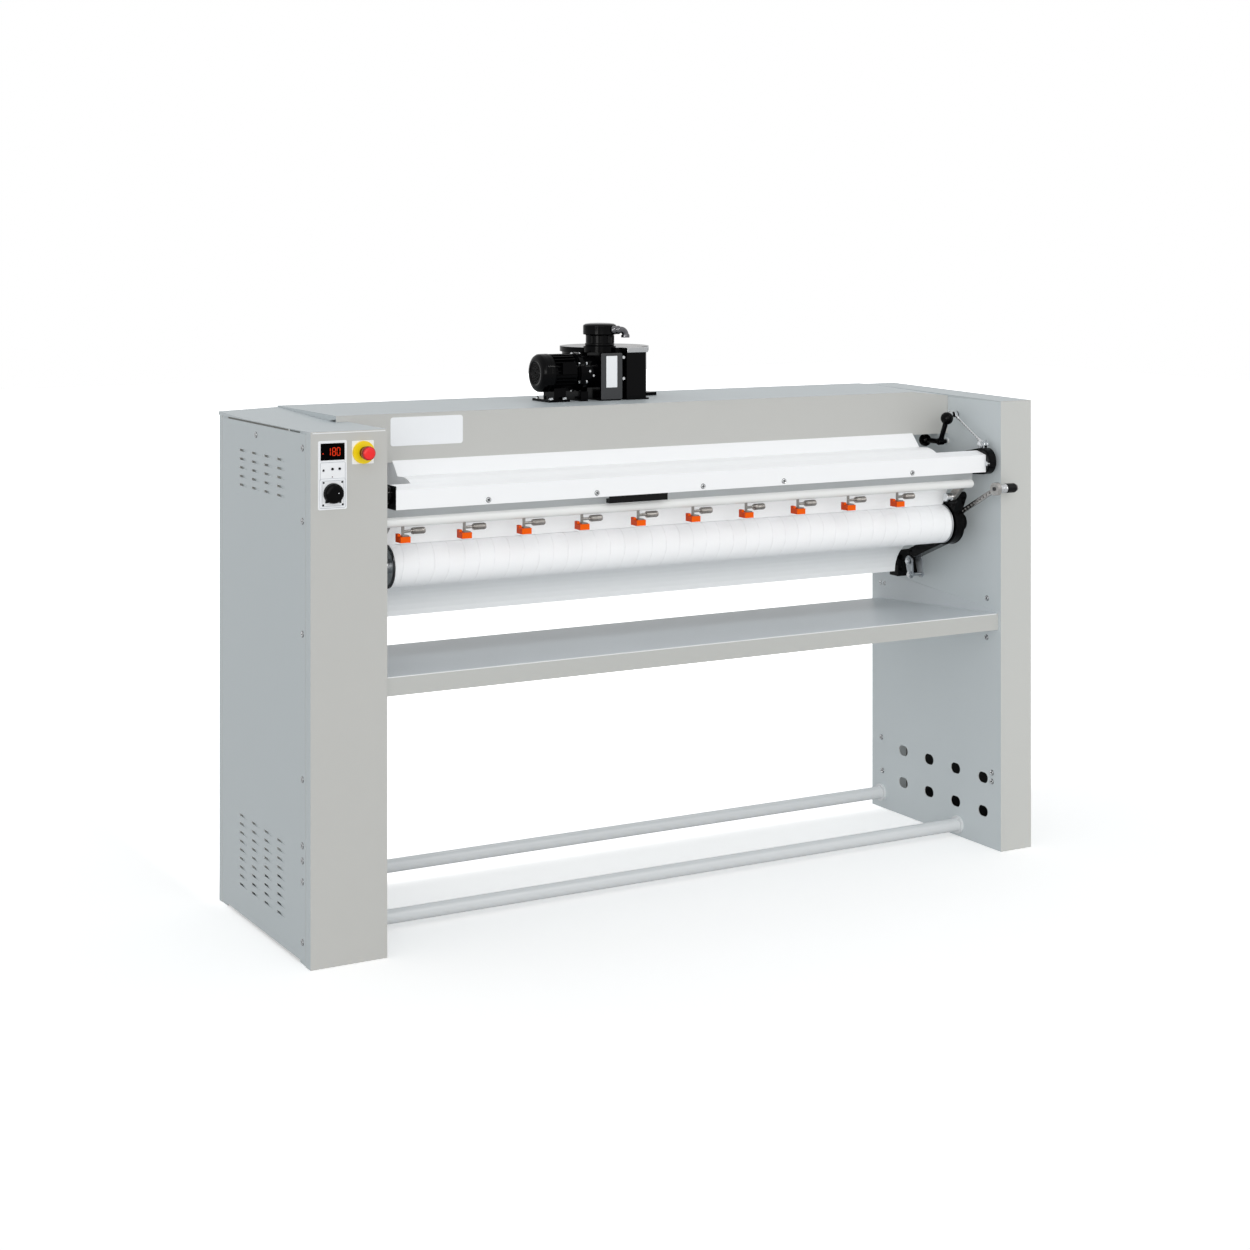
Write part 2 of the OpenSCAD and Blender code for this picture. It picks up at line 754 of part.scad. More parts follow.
// Chain as one closed band that runs clear of the sprocket teeth
module drive_chain() color("dimgray") {
    p = [roll_y, roll_z];
    q = [drive_y, drive_z];
    rp = roll_sprocket_r + chain_gap;
    rq = drive_sprocket_r + chain_gap;
    lean = acos((rp - rq) / norm(q - p));
    dir = atan2(q[1] - p[1], q[0] - p[0]);
    lap = 0.5;
    along_x(sprocket_x, sprocket_t)
        belt_arc(p, rp, chain_t, [dir - lean + lap, dir, dir + lean - lap]);
    along_x(sprocket_x, sprocket_t)
        belt_arc(q, rq, chain_t, [dir + lean + lap, dir + lean + 60, dir + 180, dir - lean - 60,
            dir - lean - lap]);
    for (a = [dir + lean, dir - lean])
        along_x(sprocket_x, sprocket_t) polygon([on_circle(p, rp, a), on_circle(p, rp + chain_t, a),
            on_circle(q, rq + chain_t, a), on_circle(q, rq, a)]);
}

module contactor_board() color("whitesmoke") {
    x = x_li - sheet_t - 3;
    z = machine_h - 250;
    translate([x, y_f + 300, z]) cube([3, 180, 200]);
    for (i = [0:2]) translate([x - 60, y_f + 312 + i * 56, z + 100]) cube([60, 46, 76]);
    for (i = [0:7]) translate([x - 34, y_f + 310 + i * 20, z + 20]) cube([34, 16, 40]);
}

module control_plate() color("white") difference() {
    union() {
        along_y(y_f - plate_t, plate_t) translate([plate_x, plate_z]) round_rect(plate_w, plate_h, 3);
        along_y(y_f - plate_t - 2, 2) translate([plate_x, switch_z]) round_rect(switch_w, switch_w + 4, 3);
        translate([plate_x - 18, y_f - plate_t, switch_z - 11]) cube([36, 40, 22]);
    }
    translate([plate_x - display_w / 2, y_f - 4, display_z - display_h / 2])
        cube([display_w, 6, display_h]);
    for (x = key_x) rod_y(x, y_f - 3, key_z, 6, key_d / 2 + running);
    rod_y(plate_x, y_f - 5, switch_z, 24, 4 + running);
}

module display_module() color("black") {
    translate([plate_x - display_w / 2, y_f - plate_t - 1, display_z - display_h / 2])
        cube([display_w, plate_t + 1 - 0, display_h]);
    translate([plate_x - 19, y_f, display_z - 11]) cube([38, 30, 22]);
}

module stop_plate() color("white") difference() {
    along_y(y_f - 1.5, 1.5) translate([stop_x, stop_z]) round_rect(stop_plate_w, stop_plate_w, 1.5);
    rod_y(stop_x, y_f - 3, stop_z, 6, stop_stem_r + 0.5);
}

module stop_ring() color("gold") difference() {
    union() {
        rod_y(stop_x, y_f - 1.5 - 6, stop_z, 6, stop_ring_r);
        rod_y(stop_x, y_f - 1.5, stop_z, 42, stop_stem_r);
    }
    rod_y(stop_x, y_f - 10, stop_z, 45, 5 + running);
}

// Hinge brackets of the shoe, guard pivots and the lug of the lifting lever
module pivot_brackets() color("gray") {
    hinge = [pivot_y, shoe_pivot_z];
    guard = [guard_pivot_y, guard_pivot_z];
    for (x = [x_li + face_gap, x_ri - 4 - face_gap])
        along_x(x, 4) translate(hinge) square([60, 60], center = true);
    rod_x(x_li + face_gap + 4, hinge[0], hinge[1], 4 + end_plate_t, hinge_pin_d / 2);
    rod_x(end_x0 - 2, hinge[0], hinge[1], end_plate_t + 8 - face_gap, hinge_pin_d / 2);
    along_x(x_li + face_gap, 4) web(guard, 12, guard + [60, 0], 12);
    rod_x(x_li + face_gap + 4, guard[0], guard[1], 12 + guard_arm_t, guard_pin_r);
    rod_x(arm_x0 - 4 - guard_arm_t, guard[0], guard[1], arm_t + 6 + guard_arm_t, guard_pin_r);
    rod_x(arm_x0 - 4 - guard_arm_t - 14, guard[0], guard[1], 14, guard_head_r);
    along_x(lug_x, 5) difference() {
        union() {
            web([lift_y, lift_z], 8, [beam_y + 20, beam_z - 8], 8);
            translate([beam_y + 4, beam_z - 9]) square([24, 9]);
        }
        translate([lift_y, lift_z]) circle(shaft_r + running);
    }
}

module pump_motor() color("dimgray") difference() {
    x0 = pump_x + fan_cover_l + face_gap;
    union() {
        rod_x(x0, pump_y, motor_z, motor_l, motor_r - 7);
        for (i = [0:fin_count - 1]) rotate_about(pump_y, motor_z, i * 360 / fin_count)
            translate([x0 + 4, pump_y - 1, motor_z + motor_r - 8]) cube([motor_l - 12, 2, 7]);
        rod_x(x0, pump_y, motor_z, 3, motor_r - 2);
        rod_x(x0 + motor_l - 3, pump_y, motor_z, 3, motor_r - 2);
        translate([x0 + 4, pump_y - 26, lid_top + 6]) cube([30, 52, 24]);
        translate([x0 - 16, pump_y - 42, lid_top]) cube([52, 84, 6]);
        translate([x0 + 16, pump_y - motor_r - 3, motor_z - 2]) cube([34, 16, 26]);
    }
    rod_x(pump_x, pump_y, motor_z, fan_cover_l + motor_l + 20, rotor_r + running);
}

// Turns children by an angle about an X axis through y, z
module rotate_about(y, z, a) {
    translate([0, y, z]) rotate([a, 0, 0]) translate([0, -y, -z]) children();
}

module pump_fan_cover() color("black") difference() {
    union() {
        rod_x(pump_x + 5, pump_y, motor_z, fan_cover_l - 5, motor_r);
        translate([pump_x, pump_y, motor_z]) rotate([0, 90, 0])
            cylinder(h = 5, r1 = motor_r - 7, r2 = motor_r);
    }
    rod_x(pump_x + 5, pump_y, motor_z, fan_cover_l, motor_r - 1.5);
    for (r = [12, 20, 28], a = [0:30:330])
        rotate_about(pump_y, motor_z, a + r)
            rod_x(pump_x - 1, pump_y + r, motor_z, 8, r / 14 + 0.6);
}

module pump_rotor() color("black") {
    x0 = pump_x + 7;
    rod_x(x0, pump_y, motor_z, fan_cover_l + motor_l - 8, rotor_r);
    rod_x(x0, pump_y, motor_z, 18, 14);
    for (a = [0:45:315]) rotate_about(pump_y, motor_z, a)
        translate([x0 + 1, pump_y - 1, motor_z + 10]) cube([16, 2, motor_r - 18]);
}

// Drum behind the front housing, round with a vertical axis
module pump_drum(r) rod_z(drum_x, drum_y, lid_top, pump_h - 2, r);

module pump_body() color("dimgray") {
    rod_x(flange_x, pump_y, motor_z, flange_t, motor_r + 2);
    for (a = [30:60:330]) rotate_about(pump_y, motor_z, a)
        rod_x(body_x, pump_y + motor_r - 2, motor_z, 5, 3.5);
    rod_x(body_x, pump_y, motor_z, pump_neck, motor_r - 6);
    translate([flange_x, pump_y - 42, lid_top]) cube([18, 84, 22]);
    translate([block_x, pump_y - 50, lid_top]) cube([pump_w, 100, pump_h]);
    translate([block_x + 1, pump_y - 54, lid_top + 5]) cube([pump_w - 2, 4, pump_h - 8]);
    translate([drum_x + drum_r - 12, drum_y - 25, lid_top]) cube([40, 50, 8]);
    pump_drum(drum_r);
    rod_z(drum_x, drum_y, lid_top + pump_h - 2, 12, drum_r + 5);
    rod_z(cap_x, pump_y, lid_top + pump_h, 14, cap_r - 1);
}

// Round bar along Z
module rod_z(x, y, z0, len, r) {
    translate([x, y, z0]) cylinder(h = len, r = r);
}

cap_x = pump_x + 165;

module pump_cap() color("black") {
    z = lid_top + pump_h + 14;
    rod_z(cap_x, pump_y, z, 26, cap_r - 5);
    rod_z(cap_x, pump_y, z + 26, 21, cap_r);
    rod_z(cap_x, pump_y, z + 47, 5, cap_r - 5);
    rod_x(cap_x + cap_r - 6, pump_y, z + 32, 30, 9);
    rod_x(cap_x + cap_r + 6, pump_y, z + 32, 8, 11.5);
    rod_z(cap_x + cap_r + 26, pump_y, z + 6, 30, 6);
}

module pump_box() color("dimgray") difference() {
    x0 = box_x + face_gap;
    union() {
        translate([x0, pump_y - 50, lid_top + 4]) cube([box_l, 60, pump_h]);
        translate([x0 - face_gap / 2, pump_y - 54, lid_top + 4 + pump_h]) cube([box_l + 4, 30, 6]);
        translate([x0, pump_y - 50, lid_top]) cube([box_l + 8, 60, 4]);
    }
    rod_z(drum_x, drum_y, lid_top - 1, pump_h + 40, drum_r + 5 + face_gap);
}

module roll_tube() color("gray") difference() {
    rod_x(pad_x0 - ring_w, roll_y, roll_z, pad_x1 - pad_x0 + ring_w + 3, tube_r);
    rod_x(pad_x0 - ring_w - 1, roll_y, roll_z, pad_x1 - pad_x0 + ring_w + 6, tube_r - roll_wall);
}

module roll_padding() color("white") difference() {
    rod_x(pad_x0, roll_y, roll_z, pad_x1 - pad_x0, roll_r);
    rod_x(pad_x0 - 1, roll_y, roll_z, pad_x1 - pad_x0 + 2, tube_r);
}

module roll_rings() color("silver") {
    difference() {
        rod_x(pad_x0 - ring_w, roll_y, roll_z, ring_w, roll_r - 0.5);
        rod_x(pad_x0 - ring_w - 1, roll_y, roll_z, ring_w + 2, tube_r);
    }
    difference() {
        rod_x(pad_x1, roll_y, roll_z, 3, roll_r - 0.5);
        rod_x(pad_x1 - 1, roll_y, roll_z, 5, tube_r);
    }
}

module roll_journals() color("silver") {
    disc_r = tube_r - roll_wall;
    left_x = sprocket_x - 8;
    rod_x(pad_x0 - ring_w, roll_y, roll_z, 10, disc_r);
    rod_x(left_x, roll_y, roll_z, pad_x0 - ring_w - left_x, journal_r);
    rod_x(pad_x1 - 7, roll_y, roll_z, 10, disc_r);
    rod_x(pad_x1 + 3, roll_y, roll_z, hub_x0 - pad_x1 - 3, journal_r);
    rod_x(hub_x0, roll_y, roll_z, hub_l - 4, hub_shaft_r);
}

// Sprocket outline: a disc with tapered teeth
module sprocket_outline(r, teeth, bore) {
    difference() {
        union() {
            circle(r - 5);
            for (i = [0:teeth - 1]) rotate(i * 360 / teeth)
                polygon([[r - 6, -3.4], [r, -1.2], [r, 1.2], [r - 6, 3.4]]);
        }
        circle(bore);
    }
}

module roll_sprocket() color("gray") along_x(sprocket_x, sprocket_t)
    translate([roll_y, roll_z]) sprocket_outline(roll_sprocket_r, 30, journal_r);

module drive_sprocket() color("gray") {
    along_x(sprocket_x, sprocket_t)
        translate([drive_y, drive_z]) sprocket_outline(drive_sprocket_r, 15, 5);
    rod_x(sprocket_x, drive_y, drive_z, sprocket_t + 6 + 20, 10);
}

// Outline of the heated shoe: an arc over the roll with a flared front lip
module shoe_outline() {
    c = [roll_y, roll_z];
    steps = 12;
    da = (shoe_front_a - shoe_rear_a) / steps;
    arc_in = [for (i = [0:steps]) c + shoe_in * [cos(shoe_rear_a + i * da), sin(shoe_rear_a + i * da)]];
    arc_out = [for (i = [steps:-1:0]) c + shoe_out * [cos(shoe_rear_a + i * da), sin(shoe_rear_a + i * da)]];
    polygon(concat(arc_in, arc_out));
    nose = arc_in[steps];
    polygon([nose, [lip_y, lip_z], [lip_y + lip_t, lip_z], arc_out[0]]);
}

module ironing_shoe() color("gainsboro") along_x(shoe_x0, shoe_x1 - shoe_x0) difference() {
    shoe_outline();
    for (p = heater_places) translate(p) circle(4 + face_gap);
}

// Heater rods lie in grooves on the back of the shoe
heater_places = [for (a = [48, 66, 84])
    [roll_y + shoe_out * cos(a), roll_z + shoe_out * sin(a)]];

module shoe_heaters() color("dimgray")
    for (p = heater_places) rod_x(shoe_x0 - 10, p[0], p[1], shoe_x1 - shoe_x0 + 20, 4);

// Hollow bridge behind the cover, and the ribs that tie the shoe to it
module shoe_bridge() color("gray") {
    x0 = cover_x0;
    x1 = cover_x1;
    top = bridge_z + bridge_h;
    rear = bridge_y + bridge_w;
    w = 3;
    along_x(x0, x1 - x0) difference() {
        polygon([[bridge_y, bridge_z + 12], [bridge_y, top], [rear, top], [rear, bridge_z],
            [bridge_y + 14, bridge_z]]);
        polygon([[bridge_y + w, bridge_z + 13], [bridge_y + w, top - w], [rear - w, top - w],
            [rear - w, bridge_z + w], [bridge_y + 15, bridge_z + w]]);
    }
    difference() {
        for (i = [0:rib_count - 1]) translate([rib_x0 + i * rib_step, rear, 0]) {
            translate([0, 0, bridge_z]) cube([6, 22, 12]);
            translate([0, 12, bridge_z - 50]) cube([6, 10, 50]);
        }
        rod_x(shoe_x0, roll_y, roll_z, shoe_x1 - shoe_x0, shoe_out);
    }
}

rib_count = 6;
rib_x0 = shoe_x0 + 60;
rib_step = (shoe_x1 - shoe_x0 - 126) / (rib_count - 1);

module front_cover() color("white") {
    top = cover_z + cover_h;
    y1 = cover_y + cover_d;
    t = sheet_t;
    difference() {
        along_x(cover_x0, cover_x1 - cover_x0) polygon([[cover_y, cover_z], [cover_y, top],
            [y1, top + 8], [y1, cover_z + 6], [y1 - t, cover_z + 6], [y1 - t, top + 8 - t],
            [cover_y + t, top - t], [cover_y + t, cover_z]]);
        for (x = cover_screw_x) rod_y(x, cover_y - 1, cover_z + 9, 4, screw_d / 2 + running);
    }
    for (i = [0:3]) translate([cover_x0 + 120 + i * (cover_x1 - cover_x0 - 246) / 3, y1, bridge_z + bridge_h])
        cube([6, bridge_y + 12 - y1, 8 + cover_z - bridge_z - bridge_h]);
}

// Short grip strip under the cover's lower edge, fixed to the back of its face
module cover_grip() color("black") {
    y = cover_y + sheet_t;
    along_x(x_li + grip_bar_x, grip_bar_l) polygon([[y, cover_z + 3], [y, cover_z - 15],
        [y + 15, cover_z - 15], [y + 15, cover_z - 6], [y + 3, cover_z - 4], [y + 3, cover_z + 3]]);
}

cover_screw_x = [for (d = [394, 647, 908, 1117, 1468]) x_l + d];

module cover_screws() color("silver") {
    for (x = cover_screw_x) {
        rod_y(x, cover_y - screw_head_h, cover_z + 9, screw_head_h, screw_head_d / 2);
        rod_y(x, cover_y, cover_z + 9, 6, screw_d / 2);
    }
    rod_x(end_x0 - 5, nut_y, nut_z, 5, 5);
}

// Outline of an end plate: round nose, straight body and a tail to the hinge
module end_plate_outline(nose = [end_plate_y, end_plate_z], nose_r = end_plate_r) {
    knee = [y_f + 110, beam_z - 62];
    tail = [pivot_y, shoe_pivot_z];
    difference() {
        union() {
            web(nose, nose_r, knee, 26);
            web(knee, 26, tail, 18);
        }
        translate(tail) circle(hinge_pin_d / 2 + running);
    }
}

module end_plates() color("black") {
    along_x(end_x0, end_plate_t) end_plate_outline();
    along_x(left_plate_x, left_plate_t) end_plate_outline([y_f + 48, beam_z - 49], left_nose_r);
}

// Clevis on top of the right end plate, with its pin
module link_clevis() color("silver") {
    foot_z = end_plate_z + end_plate_r - 4;
    for (x = [link_mid - 8, link_mid + 4])
        along_x(x, 4) difference() {
            union() {
                translate([clevis_y - 7, foot_z]) square([14, clevis_z - foot_z]);
                translate([clevis_y, clevis_z]) circle(7);
            }
            end_plate_outline();
        }
    rod_x(link_mid - 4, clevis_y, clevis_z, 8, link_pin_r);
    for (x = [link_mid - 11, link_mid + 8]) rod_x(x, clevis_y, clevis_z, 3, 5);
}

// Point on the lever's crank pin
crank_y = lift_y + crank_pin_dy;
crank_z = lift_z + crank_pin_dz;

// Bent lever on a short shaft, with the pin that carries the link's upper eye
module ball_lever() color("black") {
    c = [lift_y, lift_z];
    rod_x(handle_x - 7, c[0], c[1], lug_x + 10 - handle_x, shaft_r);
    rod_x(handle_x - 7, c[0], c[1], 14, shaft_r + 3);
    for (b = ball_places) rod_to(handle_x, c, b, lever_rod_d / 2);
    rod_x(handle_x, crank_y, crank_z, link_mid + 4 - handle_x, link_pin_r);
    rod_x(link_mid + 4, crank_y, crank_z, 3, 6);
    rod_x(link_mid - 9, crank_y, crank_z, 5, 6);
}

// Centres of the two balls
ball_places = [[lift_y - 25, lift_z + 57], [lift_y + 60, lift_z - 1]];

// Round bar in the plane x from p towards q, ending on the ball's skin
module rod_to(x, p, q, r) {
    d = norm(q - p) - ball_d / 2 + 2;
    a = atan2(q[1] - p[1], q[0] - p[0]);
    translate([x, p[0], p[1]]) rotate([a, 0, 0]) rotate([-90, 0, 0]) cylinder(h = d, r = r);
}

module lever_balls() color("black")
    for (b = ball_places) difference() {
        translate([handle_x, b[0], b[1]]) sphere(d = ball_d);
        rod_to(handle_x, [lift_y, lift_z], b, lever_rod_d / 2);
        rod_x(handle_x, crank_y, crank_z, ball_d, link_pin_r);
    }

// Rod between the crank pin and the clevis pin; its upper eye has the open pivot's slack
module link_rod() color("silver") {
    len = norm([crank_y - clevis_y, crank_z - clevis_z]);
    lean = atan2(crank_z - clevis_z, crank_y - clevis_y);
    along_x(link_mid - 3, 6) translate([clevis_y, clevis_z]) rotate(lean) difference() {
        union() {
            circle(link_eye_r);
            translate([len, 0]) circle(link_eye_r + link_slack);
            translate([4, -2.5]) square([len - 10, 5]);
            translate([38, -4.5]) square([30, 9]);
        }
        circle(link_pin_r + running);
        translate([len, 0]) circle(link_pin_r + link_slack);
    }
}

module guard_tube() color("gainsboro") difference() {
    union() {
        rod_x(guard_x0, guard_y, guard_z, guard_x1 - guard_x0 - 3, guard_r);
        rod_x(guard_x1 - 3, guard_y, guard_z, 3, guard_r - 2);
    }
    rod_x(guard_x0 - 1, guard_y, guard_z, guard_x1 - guard_x0 - guard_r, guard_r - 2);
}

clip_x = [for (i = [0:clip_count - 1]) clip_first + i * (clip_last - clip_first) / (clip_count - 1)];
strap_t = 2;

// Steel straps that hang from the tube, with a small side lug, and the arms that swing the tube
module guard_brackets() color("dimgray") {
    drop = guard_z - guard_r - clip_top;
    difference() {
            for (x = clip_x) {
            translate([x - 3, guard_y - 6, clip_top + strap_t]) cube([6, strap_t, drop + 2]);
            translate([x - clip_w / 2 + 6, clip_front + 4, clip_top])
                cube([clip_w - 7, clip_l - 8, strap_t]);
            rod_x(x + 2, guard_y - 2, clip_top + 9, 20, 3);
            rod_x(x + 21, guard_y - 2, clip_top + 9, 28, 6);
        }
        rod_x(guard_x0, guard_y, guard_z, guard_x1 - guard_x0, guard_r);
    }
    for (x = [guard_x0 + 8, arm_x0 - 2 - guard_arm_t])
        along_x(x, guard_arm_t) difference() {
            web([guard_pivot_y, guard_pivot_z], 9, [guard_y + 3, guard_z], 8);
            translate([guard_pivot_y, guard_pivot_z]) circle(guard_pin_r + running);
            translate([guard_y, guard_z]) circle(guard_r);
        }
}

module guard_clips() color("orangered")
    for (x = clip_x) {
        translate([x - clip_w / 2, clip_front, clip_top - clip_h]) cube([clip_w, clip_l, clip_h]);
        translate([x - clip_w / 2, clip_front + clip_l - 12, clip_top]) cube([6, 12, 5]);
    }

// Flange on the roll's end with the perforated bar, its knuckle and the spindle of the grip
module hand_lever() color("silver") {
    p = [hub_pin_y, hub_pin_z];
    q = [knuckle_y, knuckle_z];
    len = norm(q - p);
    lean = atan2(q[1] - p[1], q[0] - p[0]);
    count = 9;
    pitch = (len - 34) / (count - 1);
    along_x(bar_x - 1, bar_t + 2) difference() {
        translate([roll_y, roll_z]) circle(hub_flange_r);
        translate([roll_y, roll_z]) circle(journal_r + running);
    }
    along_x(bar_x, bar_t) difference() {
        translate(p) rotate(lean) difference() {
            translate([0, -bar_w / 2]) square([len, bar_w]);
            for (i = [0:count - 1]) translate([16 + i * pitch, 0]) circle(1.8, $fn = 20);
        }
        translate([roll_y, roll_z]) circle(hub_flange_r - 1);
    }
    rod_x(bar_x - 3, q[0], q[1], bar_t + 6, knuckle_r);
    rod_x(bar_x + bar_t + 3, q[0], q[1], 22, spindle_r + 4);
    rod_x(bar_x + bar_t + 25, q[0], q[1], grip_l + 2, spindle_r);
    rod_x(bar_x + bar_t + 27 + grip_l, q[0], q[1], 2, spindle_r + 3);
}

// Ratchet hub on the end of the roll, bolted to the lever's flange
module lever_hub() color("black") difference() {
    rod_x(hub_x0, roll_y, roll_z, hub_l, hub_d / 2);
    rod_x(hub_x0 - 1, roll_y, roll_z, hub_l - 2, hub_shaft_r + running);
}

module lever_grip() color("black") {
    x0 = bar_x + bar_t + 25.5;
    difference() {
        union() {
            rod_x(x0, knuckle_y, knuckle_z, grip_l - 3, grip_d / 2);
            rod_x(x0, knuckle_y, knuckle_z, grip_l, grip_d / 2 - 2);
        }
        rod_x(x0 - 1, knuckle_y, knuckle_z, grip_l + 2, spindle_r + running);
    }
}

module stop_head() color("red") {
    y0 = y_f - 1.5 - 6 - stop_travel - 1;
    rod_y(stop_x, y0, stop_z, 36, 5);
    rod_y(stop_x, y0 - 9, stop_z, 9, 10);
    rod_y(stop_x, y0 - 22, stop_z, 13, stop_d / 2);
    rod_y(stop_x, y0 - 24.5, stop_z, 2.5, stop_d / 2 - 2);
}

module rotary_knob() color("black") {
    y0 = y_f - plate_t - 2 - 0.5;
    rod_y(plate_x, y0 - 3, switch_z, 3, knob_d / 2);
    rod_y(plate_x, y0 - 9, switch_z, 7, knob_d / 2 - 3);
    translate([plate_x - 4, y0 - 14, switch_z - knob_d / 2 + 3]) cube([8, 12, knob_d - 6]);
    rod_y(plate_x, y0, switch_z, 18, 4);
}

// Short push key in the control plate
module key_cap(x) {
    rod_y(x, y_f - plate_t - 2, key_z, plate_t + 2 + 6, key_d / 2);
}

module key_minus() color("dimgray") key_cap(key_x[0]);

module key_plus() color("dimgray") key_cap(key_x[1]);

left_cabinet_shell();
left_side_panel();
right_cabinet_shell();
right_side_panel();
top_covers();
base_trays();
panel_screws();
beam_shell();
beam_lid();
beam_tubes();
rear_panel();
floor_tubes();
shelf();
chute();
badge_plate();
hood();
roll_bearings();
bearing_arm();
arm_links();
gear_motor();
drive_chain();
contactor_board();
control_plate();
display_module();
stop_plate();
stop_ring();
pivot_brackets();
pump_motor();
pump_fan_cover();
pump_body();
pump_cap();
pump_box();
pump_rotor();
roll_tube();
roll_padding();
roll_rings();
roll_journals();
roll_sprocket();
drive_sprocket();
ironing_shoe();
shoe_heaters();
shoe_bridge();
front_cover();
cover_grip();
end_plates();
cover_screws();
link_clevis();
ball_lever();
lever_balls();
link_rod();
guard_tube();
guard_clips();
guard_brackets();
hand_lever();
lever_hub();
lever_grip();
stop_head();
rotary_knob();
key_minus();
key_plus();
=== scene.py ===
import math
import bpy
import numpy as np
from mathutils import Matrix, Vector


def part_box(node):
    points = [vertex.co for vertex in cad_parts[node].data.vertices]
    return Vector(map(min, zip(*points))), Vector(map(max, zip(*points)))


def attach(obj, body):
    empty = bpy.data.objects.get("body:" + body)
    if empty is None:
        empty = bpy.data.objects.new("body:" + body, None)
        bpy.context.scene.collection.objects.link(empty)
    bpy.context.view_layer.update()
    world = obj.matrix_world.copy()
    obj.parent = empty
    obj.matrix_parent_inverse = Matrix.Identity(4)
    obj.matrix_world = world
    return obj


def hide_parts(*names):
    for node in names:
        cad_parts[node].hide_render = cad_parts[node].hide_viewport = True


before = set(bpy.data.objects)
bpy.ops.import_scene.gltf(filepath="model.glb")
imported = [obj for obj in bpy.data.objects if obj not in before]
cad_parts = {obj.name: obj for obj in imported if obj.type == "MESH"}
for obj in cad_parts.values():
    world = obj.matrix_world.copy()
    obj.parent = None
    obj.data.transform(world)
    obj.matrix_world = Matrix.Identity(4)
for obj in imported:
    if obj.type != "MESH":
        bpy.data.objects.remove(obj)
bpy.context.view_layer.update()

# Camera, floor and lamps.
# A level camera stands in front of the left cabinet, with its view shifted down on to the machine.
# The floor and the studio around it are plain white. A wide soft lamp adds to the even light; the
# low fill and the small key lamp cast no shadow.
lens = bpy.data.cameras.new("camera")
lens.lens = 63.68
lens.sensor_width = 36
lens.shift_y = -0.3068
camera = bpy.data.objects.new("camera", lens)
camera.location = (-2.4858, -4.3056, 1.4223)
camera.rotation_euler = (math.radians(90), 0, math.radians(-29.45))
bpy.context.scene.collection.objects.link(camera)
bpy.context.scene.camera = camera
bpy.context.scene.view_settings.view_transform = "Standard"

WHITE = (1, 1, 1, 1)
SMOOTH = "SMOOTHSTEP"


def srgb(red, green, blue):
    """Linear colour of a screen colour given from 0 to 255, with an alpha of 1."""
    part = np.array([red, green, blue]) / 255
    linear = np.where(part <= 0.04045, part / 12.92, ((part + 0.055) / 1.055) ** 2.4)
    return (*linear.tolist(), 1)


def put(tree, kind, inputs=None, **settings):
    """Adds a shader node. Each input is named, and is a value or the socket that feeds it."""
    node = tree.nodes.new("ShaderNode" + kind)
    for name, value in settings.items():
        setattr(node, name, value)
    for name, value in (inputs or {}).items():
        if isinstance(value, bpy.types.NodeSocket):
            tree.links.new(value, node.inputs[name])
        else:
            node.inputs[name].default_value = value
    return node


def maths(tree, operation, *values):
    """Result of a maths node on up to three values or sockets."""
    return put(tree, "Math", dict(enumerate(values)), operation=operation).outputs[0]


def remap(tree, value, low, high, to_low=0, to_high=1, kind="LINEAR"):
    """Value moved from the range low to high into the range to_low to to_high."""
    ends = {"From Min": low, "From Max": high, "To Min": to_low, "To Max": to_high}
    return put(tree, "MapRange", {"Value": value, **ends}, interpolation_type=kind).outputs[0]


def noise(tree, where, scale, detail, roughness=0.5):
    """Cloudy pattern from 0 to 1."""
    settings = {"Vector": where, "Scale": scale, "Detail": detail, "Roughness": roughness}
    return put(tree, "TexNoise", settings).outputs["Fac"]


def object_place(tree):
    """Place on the piece, in its own coordinates."""
    return put(tree, "TexCoord").outputs["Object"]


def clear_tree(owner):
    """Empty node tree of a material or of the world, with only its output."""
    owner.use_nodes = True
    owner.node_tree.nodes.clear()
    kind = "OutputWorld" if isinstance(owner, bpy.types.World) else "OutputMaterial"
    return owner.node_tree, put(owner.node_tree, kind)


studio = bpy.data.worlds.new("studio")
bpy.context.scene.world = studio
tree, out = clear_tree(studio)
path = put(tree, "LightPath").outputs
seen = maths(tree, "MAXIMUM", path["Is Camera Ray"], path["Is Glossy Ray"])
seen = maths(tree, "MAXIMUM", seen, path["Is Transmission Ray"])
soft = put(tree, "Background", {"Color": (0.97, 0.99, 1, 1), "Strength": 0.63})
mirrored = remap(tree, path["Is Glossy Ray"], 0, 1, 1, 0.8)
white = put(tree, "Background", {"Color": WHITE, "Strength": mirrored})
both = put(tree, "MixShader", {0: seen, 1: soft.outputs[0], 2: white.outputs[0]})
tree.links.new(both.outputs[0], out.inputs["Surface"])

# Name, strength, disc in degrees, tilt from straight down, turn, and if it casts shadows
LAMPS = (("front_lamp", 0.62, 50, 68, -16, True), ("low_fill", 0.7, 24, 84, -50, False),
         ("small_key", 0.24, 4, 52, 32, False))
for name, energy, disc, tilt, turn, shadow in LAMPS:
    window = bpy.data.lights.new(name, "SUN")
    window.energy = energy
    window.color = (1, 0.99, 0.97)
    window.angle = math.radians(disc)
    window.use_shadow = shadow
    lamp = bpy.data.objects.new(name, window)
    lamp.rotation_euler = (math.radians(tilt), 0, math.radians(turn))
    bpy.context.scene.collection.objects.link(lamp)


def sheet_faces(rows, columns):
    """Faces between neighbouring rows and columns of an open grid of points."""
    corner = np.arange(rows * columns).reshape(rows, columns)
    return np.stack([corner[:-1, :-1], corner[1:, :-1], corner[1:, 1:], corner[:-1, 1:]],
                    -1).reshape(-1, 4)


